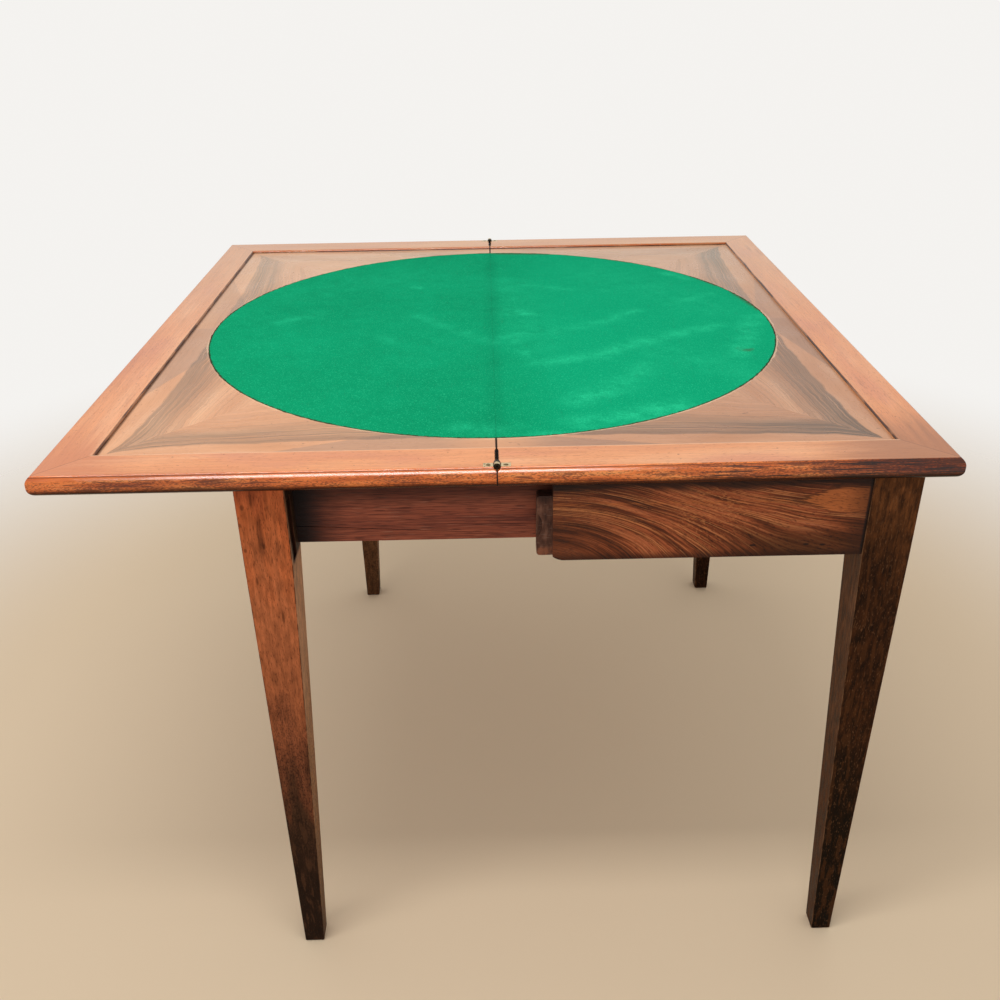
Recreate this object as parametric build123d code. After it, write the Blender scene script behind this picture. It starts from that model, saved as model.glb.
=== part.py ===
from build123d import *
import os

# Folding games table, shown open.
# X runs across the top from the folding leaf (minus) to the fixed leaf (plus).
# Y runs along the hinge line, with the near side at minus Y.
# The origin is on the floor, under the middle of the hinge line.
# All lengths are in millimetres.

# Top
table_height = 750.0
leaf_width = 485.0
leaf_length = 2 * leaf_width
leaf_thickness = 23.0
joint_gap = 1.2
border_width = 54.0
field_recess = 4.0
inner_arris_radius = 2.5
veneer_thickness = 1.5
outer_veneer_thickness = 1.4
panel_tongue_depth = 8.0
panel_tongue_thickness = 7.0

# Moulded edge of the top: a thumbnail round with a short flat at its nose
edge_top_inset = 5.0
edge_bottom_inset = 6.0
edge_upper_height = 9.0
edge_nose_height = 4.0

# Baize
baize_rim = 31.0
baize_radius = leaf_length / 2 - border_width - baize_rim
baize_thickness = 1.6
baize_margin = 0.5

# Legs
leg_width = 54.0
leg_side_inset = 31.0
fixed_leg_inset = 25.0
closed_leg_inset = 6.0
leg_outer_taper = 3.0
foot_width = 26.0
foot_chamfer = 1.5

# Fixed frame
rail_depth = 109.0
rail_core_thickness = 26.0
rail_face_recess = 2.0
rail_corner_length = 13.0
rail_corner_height = 5.0
apron_core_thickness = 24.0

# Closing tongue on the free end of each fixed rail
tongue_length = 17.5
tongue_height = 75.0
tongue_thickness = 16.0
tongue_front_shoulder = 8.0
tongue_rise = 1.5
tongue_corner_radius = 4.0
tongue_root = 15.0
worn_hollow_radius = 23.5
worn_hollow_reach = 6.4
worn_hollow_depth = 7.0
worn_hollow_rise = 40.0

# Sliding frame
slide_end_clearance = 1.0
sliding_rail_depth = 102.0
sliding_rail_thickness = 24.0
sliding_rail_inset = 42.3
back_rail_thickness = 24.0
inner_tie_thickness = 16.0
inner_tie_depth = 88.0
inner_tie_drop = 9.0
inner_tie_tenon_length = 10.0
inner_tie_tenon_thickness = 8.0

# Tie across the open end of the fixed frame, and the runners behind the rails
tie_setback = 2.0
tie_width = 38.0
tie_thickness = 20.0
tie_tail_length = 14.0
tie_tail_neck = 28.0
runner_ledge_width = 20.0
runner_height = 32.0

# Joinery
tenon_end_cover = 28.0
tenon_length = leg_width - tenon_end_cover
tenon_thickness = 10.0
tenon_shoulder = 15.0
mortise_clearance = 0.1

# Blocks and screws that hold the top
block_length = 60.0
block_height = 22.0
apron_block_depth = 20.0
side_block_end_margin = 30.0
apron_block_end_margin = 120.0
blocks_per_side = 3

block_screw_radius = 2.0
block_screw_head_radius = 4.0
block_screw_bite = 12.0
frame_screw_radius = 2.2
frame_screw_head_radius = 4.4
frame_screw_length = 30.0
frame_screw_spacing = 56.0
runner_screw_radius = 1.7
runner_screw_head_radius = 3.4
runner_screw_length = 26.0
runner_screws_per_side = 3
runner_screw_end_margin = 40.0
screw_slot_width = 0.8
screw_slot_depth = 0.7
screw_tip_length = 4.0
screw_hole_clearance = 0.05

# Hinges
barrel_radius = 3.6
pin_radius = 1.1
pin_clearance = 0.05
hinge_plate_length = 10.6
hinge_plate_thickness = 2.5
hinge_width = 9.0
hinge_edge_margin = 0.3
hinge_fit = 0.1
knuckle_gap = 0.15
hinge_screw_radius = 1.2
hinge_screw_head_radius = 2.6
hinge_screw_length = 14.0

# Running clearances
fold_clearance = 0.15
slide_clearance = 0.3
rest_clearance = 0.2
tongue_clearance = 0.4
overrun = 5.0

# Levels
underside = table_height - leaf_thickness
field_level = table_height - field_recess
core_level = field_level - veneer_thickness
rail_bottom = underside - rail_depth
sliding_top = underside - rest_clearance
sliding_bottom = sliding_top - sliding_rail_depth
pin_level = table_height + fold_clearance
tongue_slab_low = (underside + core_level - panel_tongue_thickness) / 2
tongue_slab_high = tongue_slab_low + panel_tongue_thickness

# Places across the table, as distances from the hinge line
joint_edge = joint_gap / 2
leaf_outer = joint_edge + leaf_width
leaf_end = leaf_length / 2
field_outer = leaf_outer - border_width
field_end = leaf_end - border_width
fixed_leg_outer = leaf_outer - fixed_leg_inset
fixed_leg_inner = fixed_leg_outer - leg_width
leg_side = leaf_end - leg_side_inset
leg_side_inner = leg_side - leg_width
rail_open_end = closed_leg_inset + leg_width + slide_clearance

# Places along the hinge line, as distances from the table's middle
rail_face = leg_side - rail_face_recess
rail_outer = rail_face - veneer_thickness
rail_inner = rail_outer - rail_core_thickness
tongue_outer = rail_outer - tongue_front_shoulder
tongue_inner = tongue_outer - tongue_thickness
sliding_rail_outer = leg_side - sliding_rail_inset
sliding_rail_inner = sliding_rail_outer - sliding_rail_thickness
runner_inner = sliding_rail_outer + slide_clearance

# Apron, ties and the inner end of the sliding rails
apron_face = fixed_leg_outer - rail_face_recess
apron_outer = apron_face - veneer_thickness
apron_inner = apron_outer - apron_core_thickness
tie_start = rail_open_end + tie_setback
tie_end = tie_start + tie_width
inner_tie_start = tie_end + slide_clearance
inner_tie_end = inner_tie_start + inner_tie_thickness
tie_thin_top = sliding_bottom - slide_clearance

# How far the sliding frame travels, and where its legs and back rail stand when it is out
slide_travel = fixed_leg_inner - slide_end_clearance - inner_tie_end
sliding_leg_outer = closed_leg_inset - slide_travel
sliding_leg_inner = sliding_leg_outer + leg_width
back_rail_outer = sliding_leg_outer + rail_face_recess
back_rail_inner = back_rail_outer + back_rail_thickness

# Hinge places
hinge_outer = leaf_end - edge_top_inset - hinge_edge_margin
hinge_inner = hinge_outer - hinge_width
notch_radius = barrel_radius + slide_clearance
plate_start = notch_radius
plate_end = plate_start + hinge_plate_length


def block(x0, x1, y0, y1, z0, z1):
    """A box between two corners."""
    centre = Pos((x0 + x1) / 2, (y0 + y1) / 2, (z0 + z1) / 2)
    return centre * Box(abs(x1 - x0), abs(y1 - y0), abs(z1 - z0))


def prism(plane, points, start, end):
    """A polygon drawn in a plane and carried from start to end along its normal."""
    face = make_face(Polyline(points, close=True))
    return extrude(plane.offset(start) * face, end - start)


def far(solid):
    """The same piece on the far side of the table."""
    return mirror(solid, about=Plane.XZ)


def on_folding_leaf(solid):
    """The same piece on the other side of the hinge line."""
    return mirror(solid, about=Plane.YZ)


def spread(start, end, count):
    """Evenly spaced places from start to end."""
    step = (end - start) / (count - 1)
    return [start + step * index for index in range(count)]


def screw(radius, head_radius, length):
    """A slotted countersunk wood screw that points down, with its head at the origin."""
    head_height = head_radius - radius
    shank_end = length - screw_tip_length
    head = Pos(0, 0, -head_height / 2) * Cone(radius, head_radius, head_height)
    shank = Pos(0, 0, -(head_height + shank_end) / 2) * Cylinder(radius, shank_end - head_height)
    tip = Pos(0, 0, -shank_end - screw_tip_length / 2) * Cone(radius / 4, radius, screw_tip_length)
    slot = block(-head_radius, head_radius, -screw_slot_width / 2, screw_slot_width / 2,
                 -screw_slot_depth, screw_slot_depth)
    return head + shank + tip - slot


def screw_hole(radius, head_radius, length):
    """The hole that a screw fills, a little wider all round."""
    wide = radius + screw_hole_clearance
    head_height = head_radius - radius
    head = Pos(0, 0, -head_height / 2) * Cone(wide, head_radius + screw_hole_clearance, head_height)
    bore = Pos(0, 0, -(length + screw_hole_clearance) / 2) * Cylinder(wide, length + screw_hole_clearance)
    mouth = Pos(0, 0, overrun / 2) * Cylinder(head_radius + screw_hole_clearance, overrun)
    return head + bore + mouth


# Where the screws go: a head place and a turn that points the shank
pointing_up = Rot(180, 0, 0)
pointing_near = Rot(-90, 0, 0)


def block_screw_places():
    """Heads of the vertical screws under the blocks that hold the fixed leaf."""
    side_middle = (rail_inner + runner_inner) / 2
    low = underside - block_height
    places = []
    for x in side_block_places():
        places.append(Pos(x, -side_middle, low) * pointing_up)
        places.append(Pos(x, side_middle, low) * pointing_up)
    for y in apron_block_places():
        places.append(Pos(apron_inner - apron_block_depth / 2, y, low) * pointing_up)
    return places


def side_block_places():
    """Middles of the blocks inside a side rail."""
    reach = side_block_end_margin + block_length / 2
    return spread(tie_end + reach, fixed_leg_inner - reach, blocks_per_side)


def apron_block_places():
    """Middles of the blocks inside the front apron."""
    reach = leg_side_inner - apron_block_end_margin
    return spread(-reach, reach, blocks_per_side)


def runner_screw_places():
    """Heads of the screws that hold the near runner to its rail."""
    height = (rail_bottom + runner_height + tie_thin_top) / 2
    rows = spread(tie_end + runner_screw_end_margin, fixed_leg_inner - runner_screw_end_margin,
                  runner_screws_per_side)
    return [Pos(x, -runner_inner, height) * pointing_near for x in rows]


def frame_screw_places():
    """Heads of the screws that hold the near sliding rail in its leg."""
    middle_x = (back_rail_inner + sliding_leg_inner) / 2
    middle_z = (sliding_bottom + sliding_top) / 2
    half = frame_screw_spacing / 2
    return [Pos(middle_x, -sliding_rail_inner, z) * pointing_near for z in (middle_z - half, middle_z + half)]


def drilled(solid, places, radius, head_radius, length):
    """A piece with the holes for its screws."""
    for place in places:
        solid -= place * screw_hole(radius, head_radius, length)
    return solid


def edge_profile():
    """Cross-section of a border board, as distance from the table's middle and height."""
    nose_top = table_height - edge_upper_height
    nose_bottom = nose_top - edge_nose_height
    inner = leaf_end - border_width
    arris = inner + inner_arris_radius
    outline = [
        Line((inner, underside), (inner, table_height - inner_arris_radius)),
        TangentArc((inner, table_height - inner_arris_radius), (arris, table_height), tangent=(0, 1)),
        Line((arris, table_height), (leaf_end - edge_top_inset, table_height)),
        TangentArc((leaf_end, nose_top), (leaf_end - edge_top_inset, table_height), tangent=(0, 1)),
        Line((leaf_end, nose_top), (leaf_end, nose_bottom)),
        TangentArc((leaf_end, nose_bottom), (leaf_end - edge_bottom_inset, underside), tangent=(0, -1)),
        Line((leaf_end - edge_bottom_inset, underside), (inner, underside)),
    ]
    return make_face(outline)


def panel_slab(margin):
    """The tongued rim of a leaf's panel, grown by a margin for its groove."""
    reach = panel_tongue_depth + margin
    return block(joint_edge, field_outer + reach, -field_end - reach, field_end + reach,
                 tongue_slab_low - margin, tongue_slab_high + margin)


def end_border():
    """The border board at the near end of a leaf, square at the hinge line and mitred outside."""
    board = extrude(Plane.YZ.offset(joint_edge) * mirror(edge_profile(), about=Plane.YZ), leaf_width)
    plan = prism(Plane.XY, [(joint_edge, -leaf_end), (leaf_outer, -leaf_end), (field_outer, -field_end),
                            (joint_edge, -field_end)], underside - overrun, table_height + overrun)
    return board & plan


def side_border():
    """The long border board of a leaf, mitred at both ends."""
    shift = leaf_outer - leaf_end
    face = Plane.XZ.offset(-leaf_end) * Pos(shift, 0) * edge_profile()
    board = extrude(face, leaf_length)
    plan = prism(Plane.XY, [(leaf_outer, -leaf_end), (leaf_outer, leaf_end), (field_outer, field_end),
                            (field_outer, -field_end)], underside - overrun, table_height + overrun)
    return board & plan


def hinge_seat():
    """What is cut from a near end border for its hinge: plate recess, barrel notch, screw hole."""
    recess = block(joint_edge - overrun, plate_end + hinge_fit, -hinge_outer - hinge_fit,
                   -hinge_inner + hinge_fit, table_height - hinge_plate_thickness - hinge_fit,
                   table_height + overrun)
    notch_low = -leaf_end - overrun
    notch_high = -hinge_inner + slide_clearance
    notch = Pos(0, (notch_low + notch_high) / 2, pin_level) * Rot(90, 0, 0)
    notch = notch * Cylinder(notch_radius, notch_high - notch_low)
    hole = hinge_screw_place() * screw_hole(hinge_screw_radius, hinge_screw_head_radius, hinge_screw_length)
    return recess + notch + hole


def hinge_screw_place():
    """Head of the screw in the fixed plate of the near hinge."""
    return Pos((plate_start + plate_end) / 2, -(hinge_outer + hinge_inner) / 2, table_height)


def hinge_plate(segments):
    """One half of the near hinge, on the fixed side, with a knuckle on each given stretch."""
    plate = block(plate_start, plate_end, -hinge_outer, -hinge_inner,
                  table_height - hinge_plate_thickness, table_height)
    for start, end in segments:
        plate += block(0, plate_start, start, end, table_height - hinge_plate_thickness, table_height)
        plate += Pos(0, (start + end) / 2, pin_level) * Rot(90, 0, 0) * Cylinder(barrel_radius, end - start)
    middle = -(hinge_outer + hinge_inner) / 2
    bore = Pos(0, middle, pin_level) * Rot(90, 0, 0) * Cylinder(pin_radius + pin_clearance, hinge_width + overrun)
    hole = hinge_screw_place() * screw_hole(hinge_screw_radius, hinge_screw_head_radius, hinge_screw_length)
    return plate - bore - hole


def knuckle_segments():
    """Stretches of the near barrel: two on the fixed plate and one between them."""
    third = hinge_width / 3
    first = (-hinge_outer, -hinge_outer + third - knuckle_gap / 2)
    middle = (-hinge_outer + third + knuckle_gap / 2, -hinge_inner - third - knuckle_gap / 2)
    last = (-hinge_inner - third + knuckle_gap / 2, -hinge_inner)
    return [first, last], [middle]


def hinge_pin():
    """The pin of the near hinge."""
    middle = -(hinge_outer + hinge_inner) / 2
    return Pos(0, middle, pin_level) * Rot(90, 0, 0) * Cylinder(pin_radius, hinge_width)


def leaf_core(bottom):
    """The panel that fills the border and carries the veneer and the baize."""
    body = block(joint_edge, field_outer, -field_end, field_end, bottom, core_level)
    return body + panel_slab(0)


def circle_region(radius):
    """A cylinder on the hinge line, taller than the veneer."""
    height = field_recess + veneer_thickness + overrun
    return Pos(0, 0, core_level + height / 2) * Cylinder(radius, height)


def spandrel():
    """Walnut veneer of the near half of a leaf's field, cut back round the baize."""
    sheet = block(joint_edge, field_outer, -field_end, 0, core_level, field_level)
    return sheet - circle_region(baize_radius + baize_margin)


def baize():
    """Half disc of cloth laid on a leaf's panel."""
    disc = Pos(0, 0, core_level + baize_thickness / 2) * Cylinder(baize_radius, baize_thickness)
    keep = block(joint_edge, leaf_outer, -leaf_end, leaf_end, core_level - overrun, field_level + overrun)
    return disc & keep


def outer_veneer():
    """Veneer on the folding leaf's underside, which is the table's top when it is shut."""
    return block(joint_edge, field_outer, -field_end, field_end, underside, underside + outer_veneer_thickness)


def tapered_leg(outer_x, inward_x, top):
    """A near leg, square down to the rails and tapered below them."""
    def outline(outer, inward):
        inner = outer + inward * leg_width
        foot_outer = outer + inward * leg_outer_taper
        foot_inner = foot_outer + inward * foot_width
        return [(outer, top), (inner, top), (inner, rail_bottom), (foot_inner, 0), (foot_outer, 0),
                (outer, rail_bottom)]
    across = prism(Plane.XZ, outline(outer_x, inward_x), -leaf_end, leaf_end)
    along = prism(Plane.YZ, outline(-leg_side, 1), -leaf_outer, leaf_outer)
    leg = across & along
    sole = leg.faces().sort_by(Axis.Z)[0]
    return chamfer(sole.edges(), foot_chamfer)


def rail_outline(left, right):
    """Side view of a fixed rail, with the lower corner at its open end rounded off."""
    return make_face([
        Line((right, rail_bottom), (right, underside)),
        Line((right, underside), (left, underside)),
        Line((left, underside), (left, rail_bottom + rail_corner_height)),
        TangentArc((left + rail_corner_length, rail_bottom), (left, rail_bottom + rail_corner_height),
                   tangent=(-1, 0)),
        Line((left + rail_corner_length, rail_bottom), (right, rail_bottom)),
    ])


def side_tenon(margin):
    """Tenon of the near fixed rail in its leg."""
    middle = (rail_outer + rail_inner) / 2
    half = tenon_thickness / 2 + margin
    return block(fixed_leg_inner, fixed_leg_inner + tenon_length + margin, -middle - half, -middle + half,
                 rail_bottom + tenon_shoulder - margin, underside - tenon_shoulder + margin)


def apron_tenon(margin):
    """Tenon of the front apron in the near fixed leg."""
    middle = (apron_outer + apron_inner) / 2
    half = tenon_thickness / 2 + margin
    return block(middle - half, middle + half, -leg_side_inner - tenon_length - margin, -leg_side_inner,
                 rail_bottom + tenon_shoulder - margin, underside - tenon_shoulder + margin)


def back_tenon(margin):
    """Tenon of the sliding frame's back rail in the near sliding leg."""
    middle = (back_rail_outer + back_rail_inner) / 2
    half = tenon_thickness / 2 + margin
    return block(middle - half, middle + half, -leg_side_inner - tenon_length - margin, -leg_side_inner,
                 sliding_bottom + tenon_shoulder - margin, sliding_top - tenon_shoulder + margin)


def inner_tie_tenon(margin):
    """Stub tenon of the sliding frame's inner tie in the near sliding rail."""
    middle = (inner_tie_start + inner_tie_end) / 2
    half = inner_tie_tenon_thickness / 2 + margin
    top = sliding_top - inner_tie_drop
    return block(middle - half, middle + half, -sliding_rail_inner - inner_tie_tenon_length - margin,
                 -sliding_rail_inner, top - inner_tie_depth + tenon_shoulder - margin,
                 top - tenon_shoulder + margin)


def tie_tail(margin):
    """Dovetail at the near end of the open-end tie, housed in the rail's lower edge."""
    middle = (tie_start + tie_end) / 2
    neck = tie_tail_neck / 2 + margin
    flare = tie_width / 2 + margin
    plan = [(middle - neck, -rail_inner), (middle + neck, -rail_inner),
            (middle + flare, -rail_inner - tie_tail_length - margin),
            (middle - flare, -rail_inner - tie_tail_length - margin)]
    return prism(Plane.XY, plan, rail_bottom, tie_thin_top + margin)


def closing_tongue(margin):
    """Tongue on the near fixed rail, or with a margin the slot that takes it."""
    low = rail_bottom + tongue_rise - margin
    high = rail_bottom + tongue_rise + tongue_height + margin
    start = rail_open_end - tongue_length - margin
    tongue = block(start, rail_open_end + tongue_root, -tongue_outer - margin, -tongue_inner + margin, low, high)
    nose = tongue.edges().filter_by(Axis.Y).group_by(Axis.X)[0]
    return fillet(nose, tongue_corner_radius)


def worn_hollow():
    """Hollow worn in the front of the near tongue's nose."""
    centre_x = rail_open_end - tongue_length + worn_hollow_reach - worn_hollow_radius
    centre_z = rail_bottom + worn_hollow_rise
    depth = worn_hollow_depth + overrun
    centre_y = -tongue_outer + worn_hollow_depth - depth / 2
    return Pos(centre_x, centre_y, centre_z) * Rot(90, 0, 0) * Cylinder(worn_hollow_radius, depth)


def fixed_rail():
    """Core of the near fixed rail with its tongue, its tenon and the housing for the tie."""
    core = extrude(Plane.XZ.offset(rail_inner) * rail_outline(rail_open_end, fixed_leg_inner), rail_core_thickness)
    rail = core + closing_tongue(0) + side_tenon(0) - tie_tail(mortise_clearance)
    return drilled(rail, runner_screw_places(), runner_screw_radius, runner_screw_head_radius,
                   runner_screw_length)


def rail_veneer():
    """Figured veneer on the near fixed rail's face."""
    return extrude(Plane.XZ.offset(rail_outer) * rail_outline(rail_open_end, fixed_leg_inner), veneer_thickness)


def front_apron():
    """Apron between the fixed legs, tenoned at both ends."""
    board = block(apron_inner, apron_outer, -leg_side_inner, leg_side_inner, rail_bottom, underside)
    return board + apron_tenon(0) + far(apron_tenon(0))


def apron_veneer():
    """Veneer on the apron's outer face."""
    return block(apron_outer, apron_face, -leg_side_inner, leg_side_inner, rail_bottom, underside)


def open_end_tie():
    """Flat tie under the sliding rails that holds the two fixed rails at their open end."""
    between = sliding_rail_inner - slide_clearance
    thick = block(tie_start, tie_end, -between, between, rail_bottom, rail_bottom + tie_thickness)
    thin = block(tie_start, tie_end, -rail_inner, rail_inner, rail_bottom, tie_thin_top)
    return thick + thin + tie_tail(0) + far(tie_tail(0))


def slide_runner():
    """L-shaped runner on the near rail: its ledge carries the sliding rail."""
    upstand = block(tie_end, fixed_leg_inner, -rail_inner, -runner_inner, rail_bottom, rail_bottom + runner_height)
    ledge = block(tie_end, fixed_leg_inner, -rail_inner, -sliding_rail_outer + runner_ledge_width,
                  rail_bottom, tie_thin_top)
    return drilled(upstand + ledge, runner_screw_places(), runner_screw_radius, runner_screw_head_radius,
                   runner_screw_length)


def top_blocks():
    """Blocks glued in the corners between the fixed frame and the fixed leaf."""
    low = underside - block_height
    half = block_length / 2
    blocks = []
    for x in side_block_places():
        near_block = block(x - half, x + half, -rail_inner, -runner_inner, low, underside)
        blocks += [near_block, far(near_block)]
    for y in apron_block_places():
        blocks.append(block(apron_inner - apron_block_depth, apron_inner, y - half, y + half, low, underside))
    length = block_height + block_screw_bite
    return [drilled(one, block_screw_places(), block_screw_radius, block_screw_head_radius, length)
            for one in blocks]


def sliding_rail():
    """Near rail of the sliding frame, let into its leg and meeting the back rail."""
    rail = block(back_rail_inner, inner_tie_end, -sliding_rail_outer, -sliding_rail_inner,
                 sliding_bottom, sliding_top)
    rail = rail - inner_tie_tenon(mortise_clearance)
    return drilled(rail, frame_screw_places(), frame_screw_radius, frame_screw_head_radius, frame_screw_length)


def sliding_leg():
    """Near sliding leg, with the slot for the tongue and the seat of the sliding rail."""
    leg = tapered_leg(sliding_leg_outer, 1, sliding_top)
    seat = block(back_rail_inner, sliding_leg_inner + overrun, -sliding_rail_outer, -leg_side_inner + overrun,
                 sliding_bottom, sliding_top + overrun)
    slot = Pos(-slide_travel, 0, 0) * closing_tongue(tongue_clearance)
    leg = leg - seat - slot - back_tenon(mortise_clearance)
    return drilled(leg, frame_screw_places(), frame_screw_radius, frame_screw_head_radius, frame_screw_length)


def back_rail():
    """Rail between the sliding legs, tenoned at both ends."""
    board = block(back_rail_outer, back_rail_inner, -leg_side_inner, leg_side_inner, sliding_bottom, sliding_top)
    return board + back_tenon(0) + far(back_tenon(0))


def inner_tie():
    """Tie at the inner end of the sliding rails, which stops against the open-end tie."""
    top = sliding_top - inner_tie_drop
    board = block(inner_tie_start, inner_tie_end, -sliding_rail_inner, sliding_rail_inner,
                  top - inner_tie_depth, top)
    return board + inner_tie_tenon(0) + far(inner_tie_tenon(0))


def fixed_leg():
    """Near fixed leg with the mortises of the side rail and the apron."""
    leg = tapered_leg(fixed_leg_outer, -1, underside)
    return leg - side_tenon(mortise_clearance) - apron_tenon(mortise_clearance)


def group(solids):
    """Several loose solids kept together in one node."""
    return Compound(children=[piece.solid() for piece in solids])


def save(name, shape):
    """Write one node."""
    export_step(shape, os.path.join("parts", name + ".step"))


def leaf_nodes(leaf, place, bottom, place_core):
    """Panel, borders, veneer and baize of one leaf."""
    near_end = end_border() - panel_slab(mortise_clearance) - hinge_seat()
    nodes = {
        leaf + "_core": place_core(leaf_core(bottom)),
        leaf + "_outer_border": side_border() - panel_slab(mortise_clearance),
        leaf + "_near_border": near_end,
        leaf + "_far_border": far(near_end),
        leaf + "_near_veneer": spandrel(),
        leaf + "_far_veneer": far(spandrel()),
        leaf + "_baize": baize(),
    }
    return {name: place(shape) for name, shape in nodes.items()}


def with_block_screw_holes(core):
    """The fixed leaf's panel, drilled from below for the screws in the blocks."""
    length = block_height + block_screw_bite
    return drilled(core, block_screw_places(), block_screw_radius, block_screw_head_radius, length)


def unchanged(shape):
    """A piece left as it is."""
    return shape


def hinge_nodes():
    """Both hinges: plates, pins and screws."""
    fixed_segments, folding_segments = knuckle_segments()
    fixed_plate = hinge_plate(fixed_segments)
    folding_plate = on_folding_leaf(hinge_plate(folding_segments))
    hinge_screw = hinge_screw_place() * screw(hinge_screw_radius, hinge_screw_head_radius, hinge_screw_length)
    folding_screw = on_folding_leaf(hinge_screw)
    return {
        "near_hinge_fixed_plate": fixed_plate,
        "far_hinge_fixed_plate": far(fixed_plate),
        "near_hinge_folding_plate": folding_plate,
        "far_hinge_folding_plate": far(folding_plate),
        "near_hinge_pin": hinge_pin(),
        "far_hinge_pin": far(hinge_pin()),
        "fixed_hinge_screws": group([hinge_screw, far(hinge_screw)]),
        "folding_hinge_screws": group([folding_screw, far(folding_screw)]),
    }


def fixed_frame_nodes():
    """Fixed legs, rails, apron, tie, runners, blocks and their screws."""
    near_rail = fixed_rail()
    block_screw = screw(block_screw_radius, block_screw_head_radius, block_height + block_screw_bite)
    runner_screw = screw(runner_screw_radius, runner_screw_head_radius, runner_screw_length)
    near_runner_screws = [place * runner_screw for place in runner_screw_places()]
    return {
        "fixed_near_leg": fixed_leg(),
        "fixed_far_leg": far(fixed_leg()),
        "fixed_near_rail": near_rail - worn_hollow(),
        "fixed_far_rail": far(near_rail),
        "fixed_near_rail_veneer": rail_veneer(),
        "fixed_far_rail_veneer": far(rail_veneer()),
        "front_apron": front_apron(),
        "front_apron_veneer": apron_veneer(),
        "open_end_tie": open_end_tie(),
        "near_slide_runner": slide_runner(),
        "far_slide_runner": far(slide_runner()),
        "top_glue_blocks": group(top_blocks()),
        "top_fixing_screws": group([place * block_screw for place in block_screw_places()]),
        "runner_screws": group(near_runner_screws + [far(one) for one in near_runner_screws]),
    }


def sliding_frame_nodes():
    """Sliding legs, their rails, the two cross pieces and the screws in the legs."""
    frame_screw = screw(frame_screw_radius, frame_screw_head_radius, frame_screw_length)
    near_screws = [place * frame_screw for place in frame_screw_places()]
    return {
        "sliding_near_leg": sliding_leg(),
        "sliding_far_leg": far(sliding_leg()),
        "sliding_near_rail": sliding_rail(),
        "sliding_far_rail": far(sliding_rail()),
        "sliding_back_rail": back_rail(),
        "sliding_inner_tie": inner_tie(),
        "sliding_rail_screws": group(near_screws + [far(one) for one in near_screws]),
    }


os.makedirs("parts", exist_ok=True)
nodes = {}
nodes.update(fixed_frame_nodes())
nodes.update(sliding_frame_nodes())
nodes.update(leaf_nodes("fixed_leaf", unchanged, underside, with_block_screw_holes))
nodes.update(leaf_nodes("folding_leaf", on_folding_leaf, underside + outer_veneer_thickness, unchanged))
nodes["folding_leaf_outer_veneer"] = on_folding_leaf(outer_veneer())
nodes.update(hinge_nodes())
for node, shape in nodes.items():
    save(node, shape)
print(len(nodes), "nodes written")
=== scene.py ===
# %% [markdown]
# # A folding games table with a baize playing field
#
# The real table has two equal top leaves. One is fixed to its frame, and the other is hinged to it and
# rests on a second frame that slides out. All the wood that shows is walnut, but no two boards have aged
# alike, so most of the work in this lesson is in the finishes.

# %% Load the frame
import math

import bpy
import numpy as np
from mathutils import Matrix, Vector


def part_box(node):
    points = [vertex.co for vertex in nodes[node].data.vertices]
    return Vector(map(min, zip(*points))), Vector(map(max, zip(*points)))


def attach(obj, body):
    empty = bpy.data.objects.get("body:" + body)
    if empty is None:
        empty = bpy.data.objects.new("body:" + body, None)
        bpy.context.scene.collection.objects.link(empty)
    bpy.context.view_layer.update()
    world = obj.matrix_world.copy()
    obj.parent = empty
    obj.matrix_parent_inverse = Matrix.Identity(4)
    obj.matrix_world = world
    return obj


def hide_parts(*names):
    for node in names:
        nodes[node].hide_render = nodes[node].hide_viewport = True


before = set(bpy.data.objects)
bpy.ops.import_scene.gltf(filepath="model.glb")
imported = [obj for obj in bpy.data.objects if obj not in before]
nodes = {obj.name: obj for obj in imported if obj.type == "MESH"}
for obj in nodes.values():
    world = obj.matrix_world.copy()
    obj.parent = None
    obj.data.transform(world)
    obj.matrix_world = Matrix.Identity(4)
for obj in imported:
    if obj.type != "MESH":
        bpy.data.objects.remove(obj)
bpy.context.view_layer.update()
MM = 0.001

# %% [markdown]
# ## Camera
#
# A camera can be placed by eye, but straight edges make it possible to work it out. The eye point, tilt
# and focal length below bring the model's own corners onto those in the picture. The three turns are the
# camera's tilt down, its turn to the side and its lean, and they give the columns of its matrix.

# %% Camera
EYE = Vector((-0.006306, -1.412976, 1.209271))
TILT, TURN, LEAN = (math.radians(angle) for angle in (28.103, 0.538, -0.93))
FOCAL_SHARE = 1.007826


def put(data):
    """An object in the scene for a camera, a lamp or a mesh, with the same name."""
    made = bpy.data.objects.new(data.name, data)
    bpy.context.scene.collection.objects.link(made)
    return made


ahead = Vector((math.sin(TURN) * math.cos(TILT), math.cos(TURN) * math.cos(TILT), -math.sin(TILT)))
level = Vector((math.cos(TURN), -math.sin(TURN), 0))
upward = level.cross(ahead)
right = math.cos(LEAN) * level + math.sin(LEAN) * upward
above = math.cos(LEAN) * upward - math.sin(LEAN) * level

lens = bpy.data.cameras.new("view_from_the_near_side")
lens.sensor_width = 36
lens.lens = FOCAL_SHARE * lens.sensor_width
camera = put(lens)
camera.matrix_world = Matrix((right, above, -ahead)).transposed().to_4x4()
camera.location = EYE
bpy.context.scene.camera = camera
bpy.context.scene.view_settings.view_transform = "Standard"
print("camera at", [round(v, 3) for v in EYE], "lens", round(lens.lens, 1), "mm")

# %% [markdown]
# ## Colours and shader nodes
#
# A colour picked from a picture is sRGB, while Blender mixes light in linear values, so one function
# turns a hex code into linear numbers. Node materials get long in code if each kind of node has its own
# helper. Here one function makes any node, sets it, fills its inputs and gives back its output.

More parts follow.
